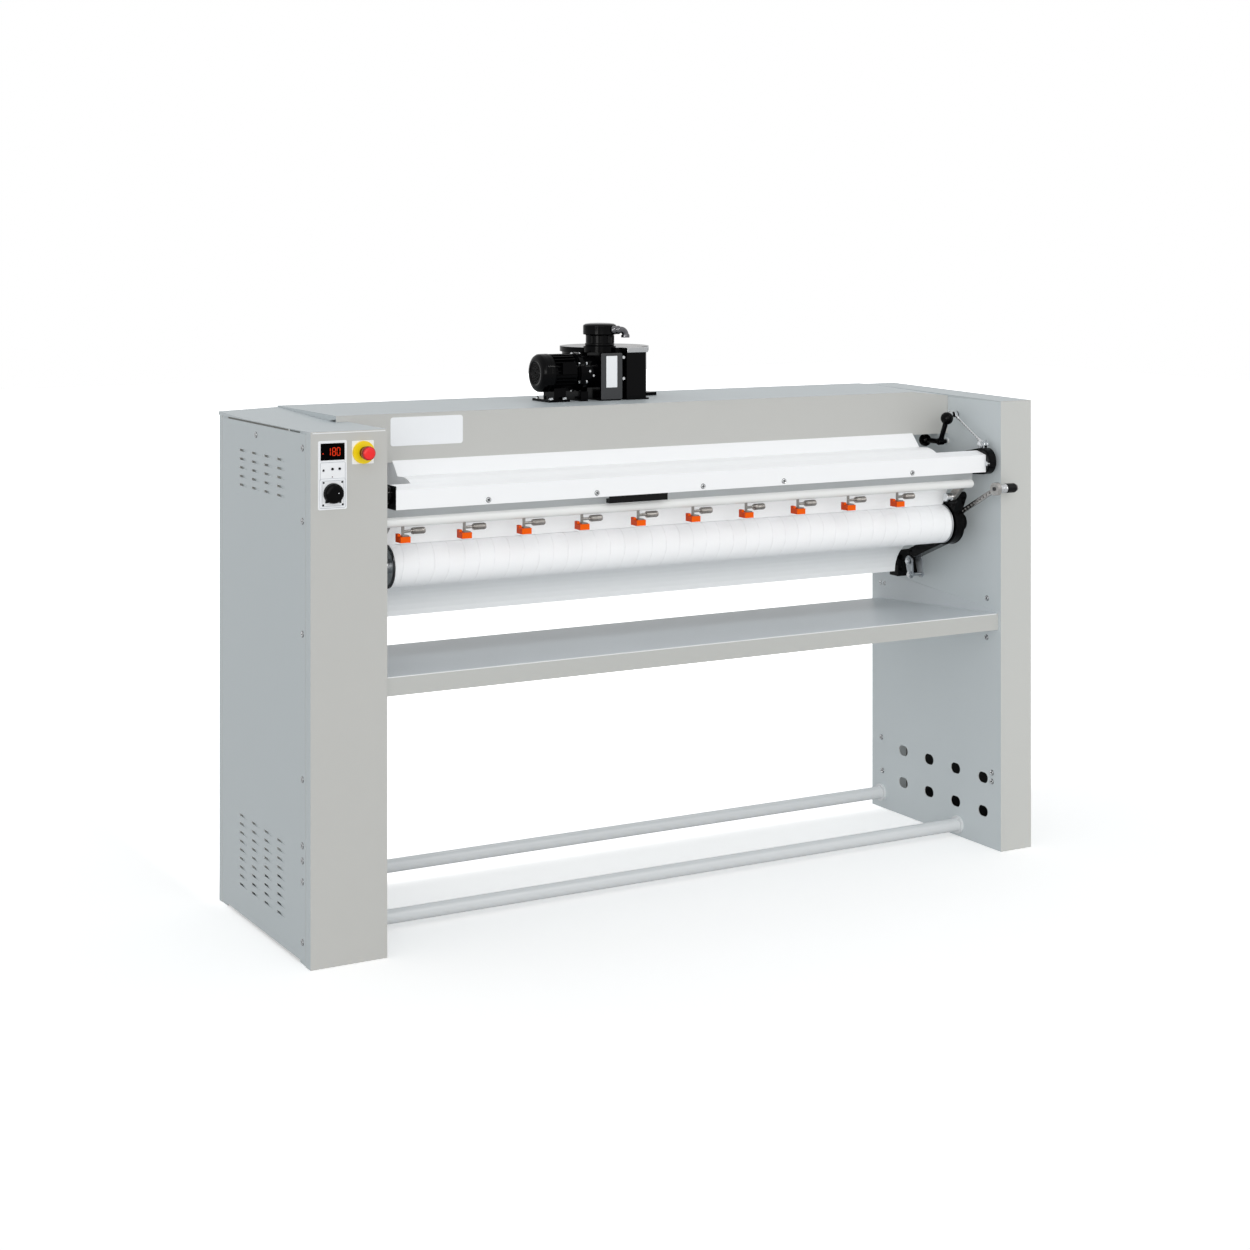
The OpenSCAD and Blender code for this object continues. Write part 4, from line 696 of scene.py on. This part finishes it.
bands = [frame_points(0.053, 0.036, 0.003, PANEL_X + 0.0005, 0.972, PANEL_FACE),
         frame_points(0.0545, 0.0585, 0.003, PANEL_X, SWITCH_Z, PANEL_FACE),
         frame_points(0.0465, 0.0505, 0.002, PANEL_X, SWITCH_Z, PLATE_FACE)]
trim_faces = repeated(ring_walls(TRIM_RINGS, OBLONG), TRIM_RINGS * OBLONG, len(bands))
shaped("panel_trim", np.stack(bands), trim_faces, trim_grey, "frame", "control_white",
       smooth=False)

corner_places = [(PANEL_X + x, PLATE_FACE, SWITCH_Z + z) for x, z in (
    (-0.0195, 0.0215), (0.0195, 0.0215), (-0.0205, -0.0225), (0.0205, -0.0225))]
pan_heads("switch_screws", corner_places, (0, -1, 0), dark_screw, "frame", radius=0.0021,
          height=0.0011, seed=9)
turned("heat_lamp", (PANEL_X - 0.0005, PANEL_FACE, 0.961), "Y",
       [(-1.2, 0.3), (-1, 1), (0.5, 1.2)], dark_red_and_shade, "frame", "red_plastic", turns=16)
turned("status_lamp", (-0.8736, PANEL_FACE, 0.9742), "Y",
       [(-1.8, 0.2), (-1.6, 1.4), (0, 2.4), (0.5, 2.4)], dark_screw, "frame", "zinc_screws",
       turns=24)

# Seven-segment figures behind the window; a segment is a bar with pointed ends
FIGURE_RED = srgb(244, 62, 28)
glow = bpy.data.materials.new("segment_glow")
tree, out = clear_tree(glow)
level = remap(tree, noise(tree, object_place(tree), 900, 1), 0, 1, 0.75, 1.1)
shine = put(tree, "Emission", {"Color": FIGURE_RED, "Strength": level})
tree.links.new(shine.outputs[0], out.inputs["Surface"])
glow.diffuse_color = FIGURE_RED


def segment(start, end, half=0.00075):
    """Six corners of a bar between two points, pointed at both ends."""
    way = (end - start) / np.linalg.norm(end - start)
    side = np.array([-way[1], way[0]])
    return np.array([start, start + half * (way - side), end - half * (way + side), end,
        end + half * (side - way), start + half * (way + side)])


FIGURE_SIZE = np.array([0.0062, 0.015])
FIGURE_DEPTHS = (-0.25275, -0.25248)
FIGURES = ((-0.866, "bc"), (-0.8552, "abcdefg"), (-0.8458, "abcdef"))
BARS = {"a": (0, 1, 1, 1), "b": (1, 0.5, 1, 1), "c": (1, 0, 1, 0.5), "d": (0, 0, 1, 0),
        "e": (0, 0, 0, 0.5), "f": (0, 0.5, 0, 1), "g": (0, 0.5, 1, 0.5)}
flat = []
for left, lit_bars in FIGURES:
    for bar in lit_bars:
        ends = np.array(BARS[bar]).reshape(2, 2)
        inner = ends + 0.04 * (ends[::-1] - ends)
        flat.append(segment(*(np.array([left, 1.003]) + inner * FIGURE_SIZE)))
flat.append(np.array([-0.875, 1.0072])
            + 0.0009 * np.array([[-1, -1], [0, -1.4], [1, -1], [1, 1], [0, 1.4], [-1, 1]]))
points = np.array([[[(x, y, z) for x, z in bar] for y in FIGURE_DEPTHS] for bar in flat])
one = [list(range(6)), list(range(11, 5, -1))]
one += [[k, k + 6, (k + 1) % 6 + 6, (k + 1) % 6] for k in range(6)]
shaped("display_figures", points, repeated(one, 12, len(flat)), glow, "frame", "red_plastic",
       smooth=False)


def knob_lobes(along, angle):
    """Two stubby lobes at the lower left and right, and a dish cut towards the front edge."""
    lobes = sum(np.exp(-((angle - middle) / 0.1) ** 2) for middle in (2.49, 3.87))
    return 0.0044 * lobes * np.clip((along + 0.0105) / 0.003, 0, 1) \
        * np.clip((along + 0.0002) / -0.0004, 0, 1)


knob = [(-13.6, 0.3), (-13.5, 13), (-12.2, 17.2), (-9, 19.4), (-4, 20.2), (-0.4, 20.5),
        (0, 19.5), (0, 4.1), (17, 4)]
turned("switch_knob", (PANEL_X, -0.254, SWITCH_Z), "Y", knob, moulded_black, "knob",
       "black_plastic", "rotary_knob", turns=96, soft=0.6, swell=knob_lobes)
# Painted highlight: a small white dot on the knob's front, where its glint of light falls.
turned("knob_glint_dot", (PANEL_X + 0.0068, -0.2676, 0.93), "Y",
       [(-0.6, 0.2), (-0.5, 0.9), (0.4, 1.1)], label_white, "knob", "black_plastic", turns=16,
       soft=0.1)

STOP = (-0.7905, -0.2625, 1.0065)
button = [(-24.5, 0.4), (-24.3, 7), (-23.2, 11.2), (-20.8, 13.6), (-18, 14), (-12, 13.9),
          (-9.5, 13.4), (-9, 12)]
turned("stop_button_head", STOP, "Y", button, red_plastic, "stop_button", "red_plastic",
       "stop_head", turns=72, soft=0.6)
# Painted shade: the stop button's stem is dark red for the shade it lies in.
stem = [(-9.2, 11), (-8.8, 12.4), (-0.8, 12.4), (0, 11), (0, 5), (36, 5)]
turned("stop_button_stem", STOP, "Y", stem, dark_red_and_shade, "stop_button", "red_plastic", turns=48)


# Vapour pump on the beam.
# A small air-cooled motor with a moulded fan cowl is flanged to a black painted cast body with a
# round oil drum, a filler cap with a metal elbow made dark grey as a painted reflection, and a
# sheet box; bright bolts hold the flange and the feet.
pump_black = casting("pump_black", (2, 2, 3), 0.12, 260, 0.01, 0.05, Specular_IOR_Level=0.07)
pump_grey = casting("pump_grey", (60, 61, 63), 0.4, 260, 0.03, 0.1, Specular_IOR_Level=0.3)
cowl_black = coated("cowl_black", (3, 3, 4), 0.12, 0.2, 0.1, 500, 0.05,
    Specular_IOR_Level=0.1)
# Painted reflection: the elbow's plating is dark grey for the darker surroundings it reflects.
elbow_painted_reflection = bare_metal("elbow_painted_reflection", (112, 112, 115), 0.1, (120, 120, 120), 0.5, 0.05)
chrome = bare_metal("chrome", (218, 220, 222), 0.12, (300, 300, 300), 0.08, 0.03)
bright_rim = bare_metal("bright_rim", (196, 198, 200), 0.3, (40, 40, 900), 0.15)
dress(pump_black, "pump_motor", "pump_body", "pump_rotor")
dress(cowl_black, "pump_box", "pump_fan_cover", "pump_cap")

MOTOR_Y, MOTOR_Z = 0.11, 1.127
cowl = [(0, 25), (0, 30), (0.8, 34.5), (3.5, 39.5), (8, 42.5), (14, 43), (21, 43),
        (21.5, 42.4), (22.5, 42.4), (23, 43), (30, 43), (30, 41.5), (8, 40.5),
        (2.5, 34), (2, 25.5), (1.6, 25)]
turned("fan_cowl", (-0.224, MOTOR_Y, MOTOR_Z), "X", cowl, cowl_black, "frame", "pump_black",
       "pump_fan_cover", turns=96, soft=0.6, closed=True)
GRILLE_BARS, GRILLE_SIDES, GRILLE_TURNS = 7, 6, 72


def grille_points(inner=0.004, outer=0.0262):
    """Rings of the cowl's grille: each is a small round bar, so radius and height go round a
    circle."""
    middle, around, angle = np.meshgrid(np.linspace(inner, outer, GRILLE_BARS),
                                        full_turn(GRILLE_SIDES), full_turn(GRILLE_TURNS),
                                        indexing="ij")
    radius = middle + 0.0012 * np.cos(around)
    return np.stack([-0.223 + 0.001 * np.sin(around), MOTOR_Y + radius * np.cos(angle),
        MOTOR_Z + radius * np.sin(angle)], -1)


one = [face[::-1] for face in tube_faces(GRILLE_SIDES, GRILLE_TURNS, True)]
shaped("fan_grille", grille_points(), repeated(one, GRILLE_SIDES * GRILLE_TURNS, GRILLE_BARS),
       cowl_black, "frame", "pump_black")

HEX_TURNS = 36


def hex_points(radius, height, washer=0):
    """Hexagon bolt head along Z, on a round washer if there is one. Its six flats come from the
    distance to a straight side, and the top edge is turned down a little."""
    angle = full_turn(HEX_TURNS)
    flats = radius * np.cos(np.pi / 6) / np.cos((angle % (np.pi / 3)) - np.pi / 6)
    ring = np.full(HEX_TURNS, washer)
    rings = [(ring, 0), (ring, 0.001), (flats, 0.001)] if washer else [(flats, 0)]
    rings += [(flats, height - 0.0005), (flats * 0.9, height), (flats * 0.1, height)]
    return np.stack([np.stack([r * np.cos(angle), r * np.sin(angle), np.full(HEX_TURNS, z)], -1)
        for r, z in rings])


def bolts(name, places, outward, size, finish, body, slot):
    """Hexagon heads on faces with one outward direction. Size is radius, height and washer."""
    head = hex_points(*size)
    axis = int(np.abs(np.array(outward)).argmax())
    head = head[..., ((2, 0, 1), (1, 2, 0), (0, 1, 2))[axis]]
    faces = tube_faces(len(head), HEX_TURNS)
    if outward[axis] < 0:
        head[..., axis] *= -1
        faces = [face[::-1] for face in faces]
    copies(name, head, places, faces, finish, body, slot, False)


around = np.radians(np.arange(30, 360, 60))
flange = np.stack([np.full(6, -0.1297), MOTOR_Y + 0.041 * np.cos(around),
    MOTOR_Z + 0.041 * np.sin(around)], -1)
feet = [(x, y, 1.069) for x in (-0.168, -0.202) for y in (0.075, 0.145)]
for name, places, outward, size in (
        ("flange_bolts", flange, (-1, 0, 0), (0.0036, 0.0035)),
        ("flange_nuts", flange + [0.015, 0, 0], (1, 0, 0), (0.0036, 0.004)),
        ("foot_bolts", feet, (0, 0, 1), (0.005, 0.0042, 0.0062)),
        ("body_bolts", [(-0.0265, 0.06, z) for z in (1.112, 1.16)], (0, -1, 0), (0.004, 0.0045)),
        ("neck_bolts", [(-0.105, 0.0735, 1.13), (-0.095, 0.0745, 1.12)], (0, -1, 0),
         (0.003, 0.003))):
    bolts(name, places, outward, size, chrome, "frame", "chrome_parts")


def plate(name, x, z, size, corner, inset, depths, finish, slot, easing=0.5):
    """Plate on the pump's front: its outline at three depths, the foremost drawn in by inset."""
    width, height = size
    rings = np.stack([oblong(width - 2 * i, height - 2 * i, corner - easing * i)
        for i in (0, 0, inset)])
    depth = np.broadcast_to(np.array(depths)[:, None], rings.shape[:2])
    points = np.stack([x + rings[..., 0], depth, z + rings[..., 1]], -1)
    shaped(name, points, tube_faces(3, OBLONG), finish, "frame", slot, smooth=False)


# Front plate of the body with a folded edge, and the bare label plate on it
plate("pump_front_sheet", -0.0577, 1.118, (0.054, 0.104), 0.003, 0.0012,
      (0.0562, 0.0552, 0.0548), pump_grey, "pump_black")
plate("pump_label_plate", -0.058, 1.1284, (0.028, 0.071), 0.0012, 0.0003,
      (0.0549, 0.0545, 0.0543), label_white, "control_white")
DRUM_X, DRUM_Y = -0.006, 0.185
BAND_GRID = (40, 9)


def rim_highlight_band(inner=0.1028, outer=0.1036, bottom=1.1695, top=1.1805, first=-78, last=-18):
    """Bright clamp band on the drum's rim: an arc with a rounded section, bulging at mid height.
    It covers only the arc where light is reflected, as a painted highlight.
    """
    angle, v = np.meshgrid(np.radians(np.linspace(first, last, BAND_GRID[0])),
        np.linspace(0, 1, BAND_GRID[1]), indexing="ij")
    radius = inner + (outer - inner) * np.sin(np.pi * v) ** 0.5
    return np.stack([DRUM_X + radius * np.cos(angle), DRUM_Y + radius * np.sin(angle),
        bottom + (top - bottom) * v], -1)


# Painted highlight: a bright band and a bright strip lie only where the drum's rim and the box's
# top edge catch the light.
shaped("drum_rim_highlight", rim_highlight_band(), sheet_faces(*BAND_GRID), bright_rim, "frame", "chrome_parts")
plate("box_top_highlight_strip", 0.0098, 1.1758, (0.0535, 0.0108), 0.0008, 0.0006,
      (0.0562, 0.0554, 0.055), bright_rim, "chrome_parts", 0)
turned("drum_lid_bead", (DRUM_X, DRUM_Y, 1.169), "Z",
       [(11.8, 99.5), (12.2, 100.5), (12.2, 101.5), (11.8, 102.5)], bright_rim, "frame",
       "chrome_parts", turns=128, soft=0.2)

CAP_X = -0.059


def cap_grips(along, angle):
    """Shallow flutes round the cap's head, strongest at mid height."""
    return -0.0006 * (0.5 + 0.5 * np.cos(36 * angle)) * np.clip((along - 0.028) / 0.004, 0, 1) \
        * np.clip((0.046 - along) / 0.004, 0, 1)


filler = [(0, 33), (2, 33.6), (6, 33.6), (6.5, 31.8), (24, 31.8), (25.5, 33),
          (26, 37.2), (27, 38), (45.5, 38), (47.8, 36.8), (49, 34), (50, 32.5),
          (51.2, 24), (51.8, 12), (52, 0.5)]
turned("filler_cap", (CAP_X, MOTOR_Y, 1.185), "Z", filler, moulded_black, "frame",
       "black_plastic", "pump_cap", turns=144, soft=0.6, swell=cap_grips)
rib_places = [(CAP_X + 0.0322 * np.cos(t), MOTOR_Y + 0.0322 * np.sin(t), 1.1915)
              for t in np.radians(np.arange(-150, 20, 34))]
rib = turned_points(ORIGIN, "Z", [(0, 0.4), (0, 2.2), (17, 2.2), (17, 0.4)], 20)
copies("cap_neck_ribs", rib, rib_places, tube_faces(len(rib), 20), cowl_black, "frame",
       "black_plastic")
ELBOW_STEPS, ELBOW_TURNS = 34, 28


def elbow_points(start, turn_at, end, radius=0.0075, bend=0.012):
    """Hose elbow: a round tube along a path that runs out, turns down on a quarter circle and
    ends; three collars widen it as it goes."""
    t = np.linspace(0, 1, ELBOW_STEPS)
    out_run, down_run = turn_at - bend - start[0], start[2] - bend - end
    s = t * (out_run + bend * np.pi / 2 + down_run)
    q = np.clip((s - out_run) / bend, 0, np.pi / 2)
    x = start[0] + np.minimum(s, out_run) + bend * np.sin(q)
    z = start[2] - bend * (1 - np.cos(q)) - np.clip(s - out_run - bend * np.pi / 2, 0, None)
    collars = sum(np.clip(1 - (np.abs(t - place) / 0.09) ** 8, 0, 1)
                  for place in (0.12, 0.36, 0.95))
    size = (radius + 0.0022 * collars)[:, None, None]
    a = full_turn(ELBOW_TURNS)[None, :, None]
    normal = np.stack([np.sin(q), np.zeros(ELBOW_STEPS), np.cos(q)], -1)[:, None]
    path = np.stack([x, np.full(ELBOW_STEPS, start[1]), z], -1)[:, None]
    return path + size * (np.cos(a) * np.array([0, 1, 0]) + np.sin(a) * normal)


points = elbow_points((CAP_X + 0.01, MOTOR_Y - 0.034, 1.2215), CAP_X + 0.048, 1.204)
shaped("cap_elbow", points, tube_faces(ELBOW_STEPS, ELBOW_TURNS), elbow_painted_reflection, "frame",
       "chrome_parts")


# Front cover, its grip strip and the end plates.
# The cover is a white enamelled channel screwed to the bridge; the grip strip is moulded black
# plastic, and the end plates are black cast iron with turned rims, held by a nut at the cover's
# right end.
black_plastic = coated("black_plastic", (5, 5, 6), 0.3, 0.15, 0.1, 900, 0.1,
    Specular_IOR_Level=0.2)
dress(white_enamel, "front_cover")
dress(black_plastic, "cover_grip")
dress(black_iron, "end_plates")
RIGHT_PLATE = (0.782, -0.215, 0.909)
small = [(-0.3, 9.8), (-0.3, 16.8), (1.8, 16), (1.8, 10.5)]
for name, centre, corners, shape in (
        ("end_plate_rim", RIGHT_PLATE, [(-2.2, 21.5), (-2.2, 28.5), (0.3, 29.5), (0.3, 20.5)],
         {"turns": 72, "soft": 0.6, "closed": True}),
        ("end_plate_boss", RIGHT_PLATE, [(-1.6, 0.3), (-1.6, 9), (0.3, 10.5)],
         {"turns": 48, "soft": 0.6}),
        ("left_plate_rim", (-0.712, -0.202, 0.912), small,
         {"turns": 60, "soft": 0.5, "closed": True})):
    turned(name, centre, "X", corners, black_iron, "shoe", "black_casting", **shape)
cap_low, cap_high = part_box("front_cover")
middle = (cap_low + cap_high) / 2
cap = oblong(cap_high.y - cap_low.y - 0.001, cap_high.z - cap_low.z - 0.001, 0.002)
# Each ring: how far inside the cover's end it lies, and its size beside the outline's
points = [[(cap_low.x + x, middle.y + y * size, middle.z + z * size) for y, z in cap]
          for x, size in ((-0.0012, 0.988), (-0.0008, 1), (0.0006, 1))]
shaped("cover_end_cap", points, tube_faces(3, OBLONG), black_plastic, "shoe", "black_plastic",
       smooth=False)
bolts("cover_nut", [(0.782, -0.238, 0.905)], (-1, 0, 0), (0.0056, 0.0062, 0.0068), zinc, "shoe",
      "zinc_screws")


# Lifting lever with its two balls, the link and the clevis.
# The lever is black cast iron and the balls black phenolic; the link is a chromed wire with an
# eye at both ends, and bright bolts hold the shackle below and the crank above.
dress(coated("ball_black", (1, 1, 1), 0.06, 0.02, 0.02, 900, 0.01, Specular_IOR_Level=0.1),
      "lever_balls")
dress(black_iron, "ball_lever")
dress(chrome, "link_rod", "link_clevis")
LINK_X, CRANK, CLEVIS = 0.791, np.array([-0.101, 1.01]), np.array([-0.211, 0.948])


def slanted_points(x, start, end, corners, turns=20, soft=0.3):
    """Points of a turned part along a line in the plane of Y and Z, from start towards end."""
    way = np.append(0, (end - start) / np.linalg.norm(end - start))
    side = np.array([0, way[2], -way[1]])
    along, angle, radius = (part[..., None] for part in profile_grid(corners, turns, soft))
    across = np.cos(angle) * np.array([1, 0, 0]) + np.sin(angle) * side
    return np.array([x, *start]) + along * way + radius * across


reach = float(np.linalg.norm(CLEVIS - CRANK)) / MM
wire = [(6.5, 1), (7, 4.2), (17, 4.2), (18, 3)]
for bead in np.arange(20, reach - 26, 8):
    wire += [(bead, 2.2), (bead + 3, 3), (bead + 5, 3)]
wire += [(reach - 24, 2.6), (reach - 22, 4.6), (reach - 8, 4.6), (reach - 7.5, 1)]
points = slanted_points(LINK_X, CRANK, CLEVIS, wire)
shaped("link_wire", points, tube_faces(len(points), 20), chrome, "link", "chrome_parts",
       "link_rod")
eye = [(-4, 4.2), (-4, 8), (4, 8), (4, 4.2)]
ring = turned_points(ORIGIN, "X", eye, 40, 0.5, closed=True)
copies("link_eyes", ring, [(LINK_X, *CRANK), (LINK_X, *CLEVIS)], tube_faces(len(ring), 40, True),
       chrome, "link", "chrome_parts")
for name, x, centre, way, size, body in (
        ("crank_bolt", -0.0125, CRANK, -1, (0.0078, 0.0045, 0.009), "lift_lever"),
        ("crank_nut", 0.0055, CRANK, 1, (0.0072, 0.0055, 0.0088), "lift_lever"),
        ("clevis_bolt", -0.0105, CLEVIS, -1, (0.0078, 0.0045, 0.0088), "shoe"),
        ("clevis_nut", 0.0055, CLEVIS, 1, (0.0078, 0.0055, 0.0088), "shoe")):
    bolts(name, [(LINK_X + x, *centre)], (way, 0, 0), size, chrome, body, "chrome_parts")


# Guard tube with its straps and clips.
# The tube is white enamelled; each clip is moulded in orange and hangs from a bent strap with a
# steel pin.
dress(coated("guard_enamel", (236, 237, 236), 0.25, 0.02, 0.03), "guard_tube")
# Painted shade: the clips' faces turned aside are painted darker orange.
dress(coated("orange_plastic", (242, 94, 0), 0.4, 0.06, 0.12, 900, 0.08, side_shading=(196, 62, 0),
      Specular_IOR_Level=0.15), "guard_clips")
strap_steel = bare_metal("strap_steel", (158, 154, 150), 0.3, (260, 260, 260), 0.8, 0.2)
dress(strap_steel, "guard_brackets")
spring = [(0, 4)]
for coil in np.arange(0, 25, 2.5):
    spring += [(coil + 0.4, 7), (coil + 1.5, 7), (coil + 2.1, 6.2)]
spring += [(26.2, 6), (26.2, 1)]
FIRST_CLIP, LAST_CLIP, CLIPS = -0.687, 0.541, 10
places = [(FIRST_CLIP + step * (LAST_CLIP - FIRST_CLIP) / (CLIPS - 1) + 0.0225, -0.207, 0.838)
          for step in range(CLIPS)]
one = turned_points(ORIGIN, "X", spring, 24, 0.2)
copies("strap_springs", one, places, tube_faces(len(one), 24), strap_steel, "guard",
       "lever_steel")
pin = [(-1, 3), (-0.8, 9.6), (1.6, 9.8), (2, 8.4), (15, 8.4), (15.6, 9.2), (18.5, 9.2),
       (18.8, 8.4), (28.4, 8.4), (28.6, 4)]
turned("guard_pin_sleeve", (0.7138, -0.165, 0.824), "X", pin, chrome, "frame", "chrome_parts",
       turns=48, soft=0.3)


# Hand lever on the roll's right end.
# A nickel-plated flat bar with pressed dimples, on a black hub; its turning grip is a ribbed black
# sleeve on a bright collar, held by a bolt with a wide washer.
nickel = bare_metal("nickel_plate", (178, 176, 174), 0.24, (180, 180, 180), 0.6, 0.1)
dress(nickel, "hand_lever")
dress(black_iron, "lever_hub")
dress(black_plastic, "lever_grip")
HUB, KNUCKLE = np.array([-0.129, 0.774]), np.array([-0.275, 0.85])
BAR_FACE = 0.773
places = [(BAR_FACE, *(HUB + share * (KNUCKLE - HUB))) for share in np.linspace(0.16, 0.86, 10)]
ring = turned_points(ORIGIN, "X", [(-0.8, 2), (-0.8, 3), (0.2, 3.6), (0.2, 1.8)], 24, 0.3,
    closed=True)
copies("bar_dimple_rims", ring, places, tube_faces(len(ring), 24, True), nickel, "hand_lever",
       "chrome_parts")
pit = turned_points(ORIGIN, "X", [(-0.2, 0.2), (-0.2, 1.9), (0.3, 2)], 24, 0.1)
copies("bar_dimples", pit, places, tube_faces(len(pit), 24), black_plastic, "hand_lever",
       "black_plastic")
washer = [(-2.2, 0.3), (-2.2, 10), (-1, 11.2), (-1, 14), (0.2, 14.9)]
turned("knuckle_washer", (BAR_FACE, *KNUCKLE), "X", washer, chrome, "hand_lever", "chrome_parts")
bolts("knuckle_bolt", [(0.7708, *KNUCKLE)], (-1, 0, 0), (0.0048, 0.003), dark_screw,
      "hand_lever", "zinc_screws")
collar = [(0, 9), (0.4, 10.8), (4, 10.8), (4.4, 9.4), (10, 9.4), (10.4, 10.4), (13, 10.4),
          (13.4, 9.4), (19.5, 9.4), (20, 10.4), (21.6, 10.4), (22, 8.9)]
turned("grip_collar", (0.7811, *KNUCKLE), "X", collar, chrome, "hand_lever", "chrome_parts",
       turns=48, soft=0.3)


def grip_ribs(along, angle):
    """Flutes along the grip that fade at both ends."""
    return -0.0007 * (0.5 + 0.5 * np.cos(18 * angle)) * np.clip((along - 0.002) / 0.002, 0, 1) \
        * np.clip((0.0235 - along) / 0.002, 0, 1)


grip = [(0, 4), (0, 10), (1, 11), (23.5, 11), (25.8, 10), (26.8, 7), (27, 0.4)]
turned("ribbed_grip", (0.8035, *KNUCKLE), "X", grip, black_plastic, "grip", "black_plastic",
       "lever_grip", turns=108, soft=0.5, swell=grip_ribs)


# Rims and bolts at the roll's right end.
# A bright edge ring closes the winding; the arm's bearing housing has two turned beads; the link
# plates are held by hexagon bolts.
edge = [(-0.5, 44), (-0.5, 46.2), (1.2, 46.6), (2.2, 46.2), (2.2, 44)]
turned("roll_edge_ring", (0.738, -0.117, 0.756), "X", edge, bright_rim, "roll", "chrome_parts",
       turns=96, soft=0.3, closed=True)
bead = [(0, 49.2), (0.4, 50.8), (2.6, 50.8), (3, 49.2)]
for name, x in (("housing_bead_inner", 0.7445), ("housing_bead_outer", 0.764)):
    turned(name, (x, -0.117, 0.756), "X", bead, black_iron, "frame", "black_casting", turns=96,
           closed=True)
bolts("arm_link_bolts", [(0.7362, 0.012, 0.65), (0.7362, 0.006, 0.618)], (-1, 0, 0),
      (0.0068, 0.0035, 0.0078), chrome, "frame", "chrome_parts")


# Fold edges of the shelf and of the left cabinet, on the sheet's outer bend radius.
# Their pale coat is a painted highlight, where the bend catches the light.
fold_painted_highlight = coated("fold_painted_highlight", (232, 234, 235), 0.3)
shelf_low, shelf_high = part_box("shelf")
shell_low, shell_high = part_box("left_cabinet_shell")
SHELF_FRONT_Z = 0.5532
for name, place, length in (
        ("shelf_fold_highlight", (shelf_low.x + 0.002, shelf_low.y + 0.0007, SHELF_FRONT_Z), 1540),
        ("cabinet_top_fold_highlight", (shell_low.x + 0.004, shell_low.y + 0.0007, shell_high.z - 0.0009),
         (shell_high.x - shell_low.x) / MM - 8)):
    fold = [(0, 0.2), (0, 1.2), (length, 1.2), (length, 0.2)]
    turned(name, place, "X", fold, fold_painted_highlight, "frame", "grey_paint", turns=20)
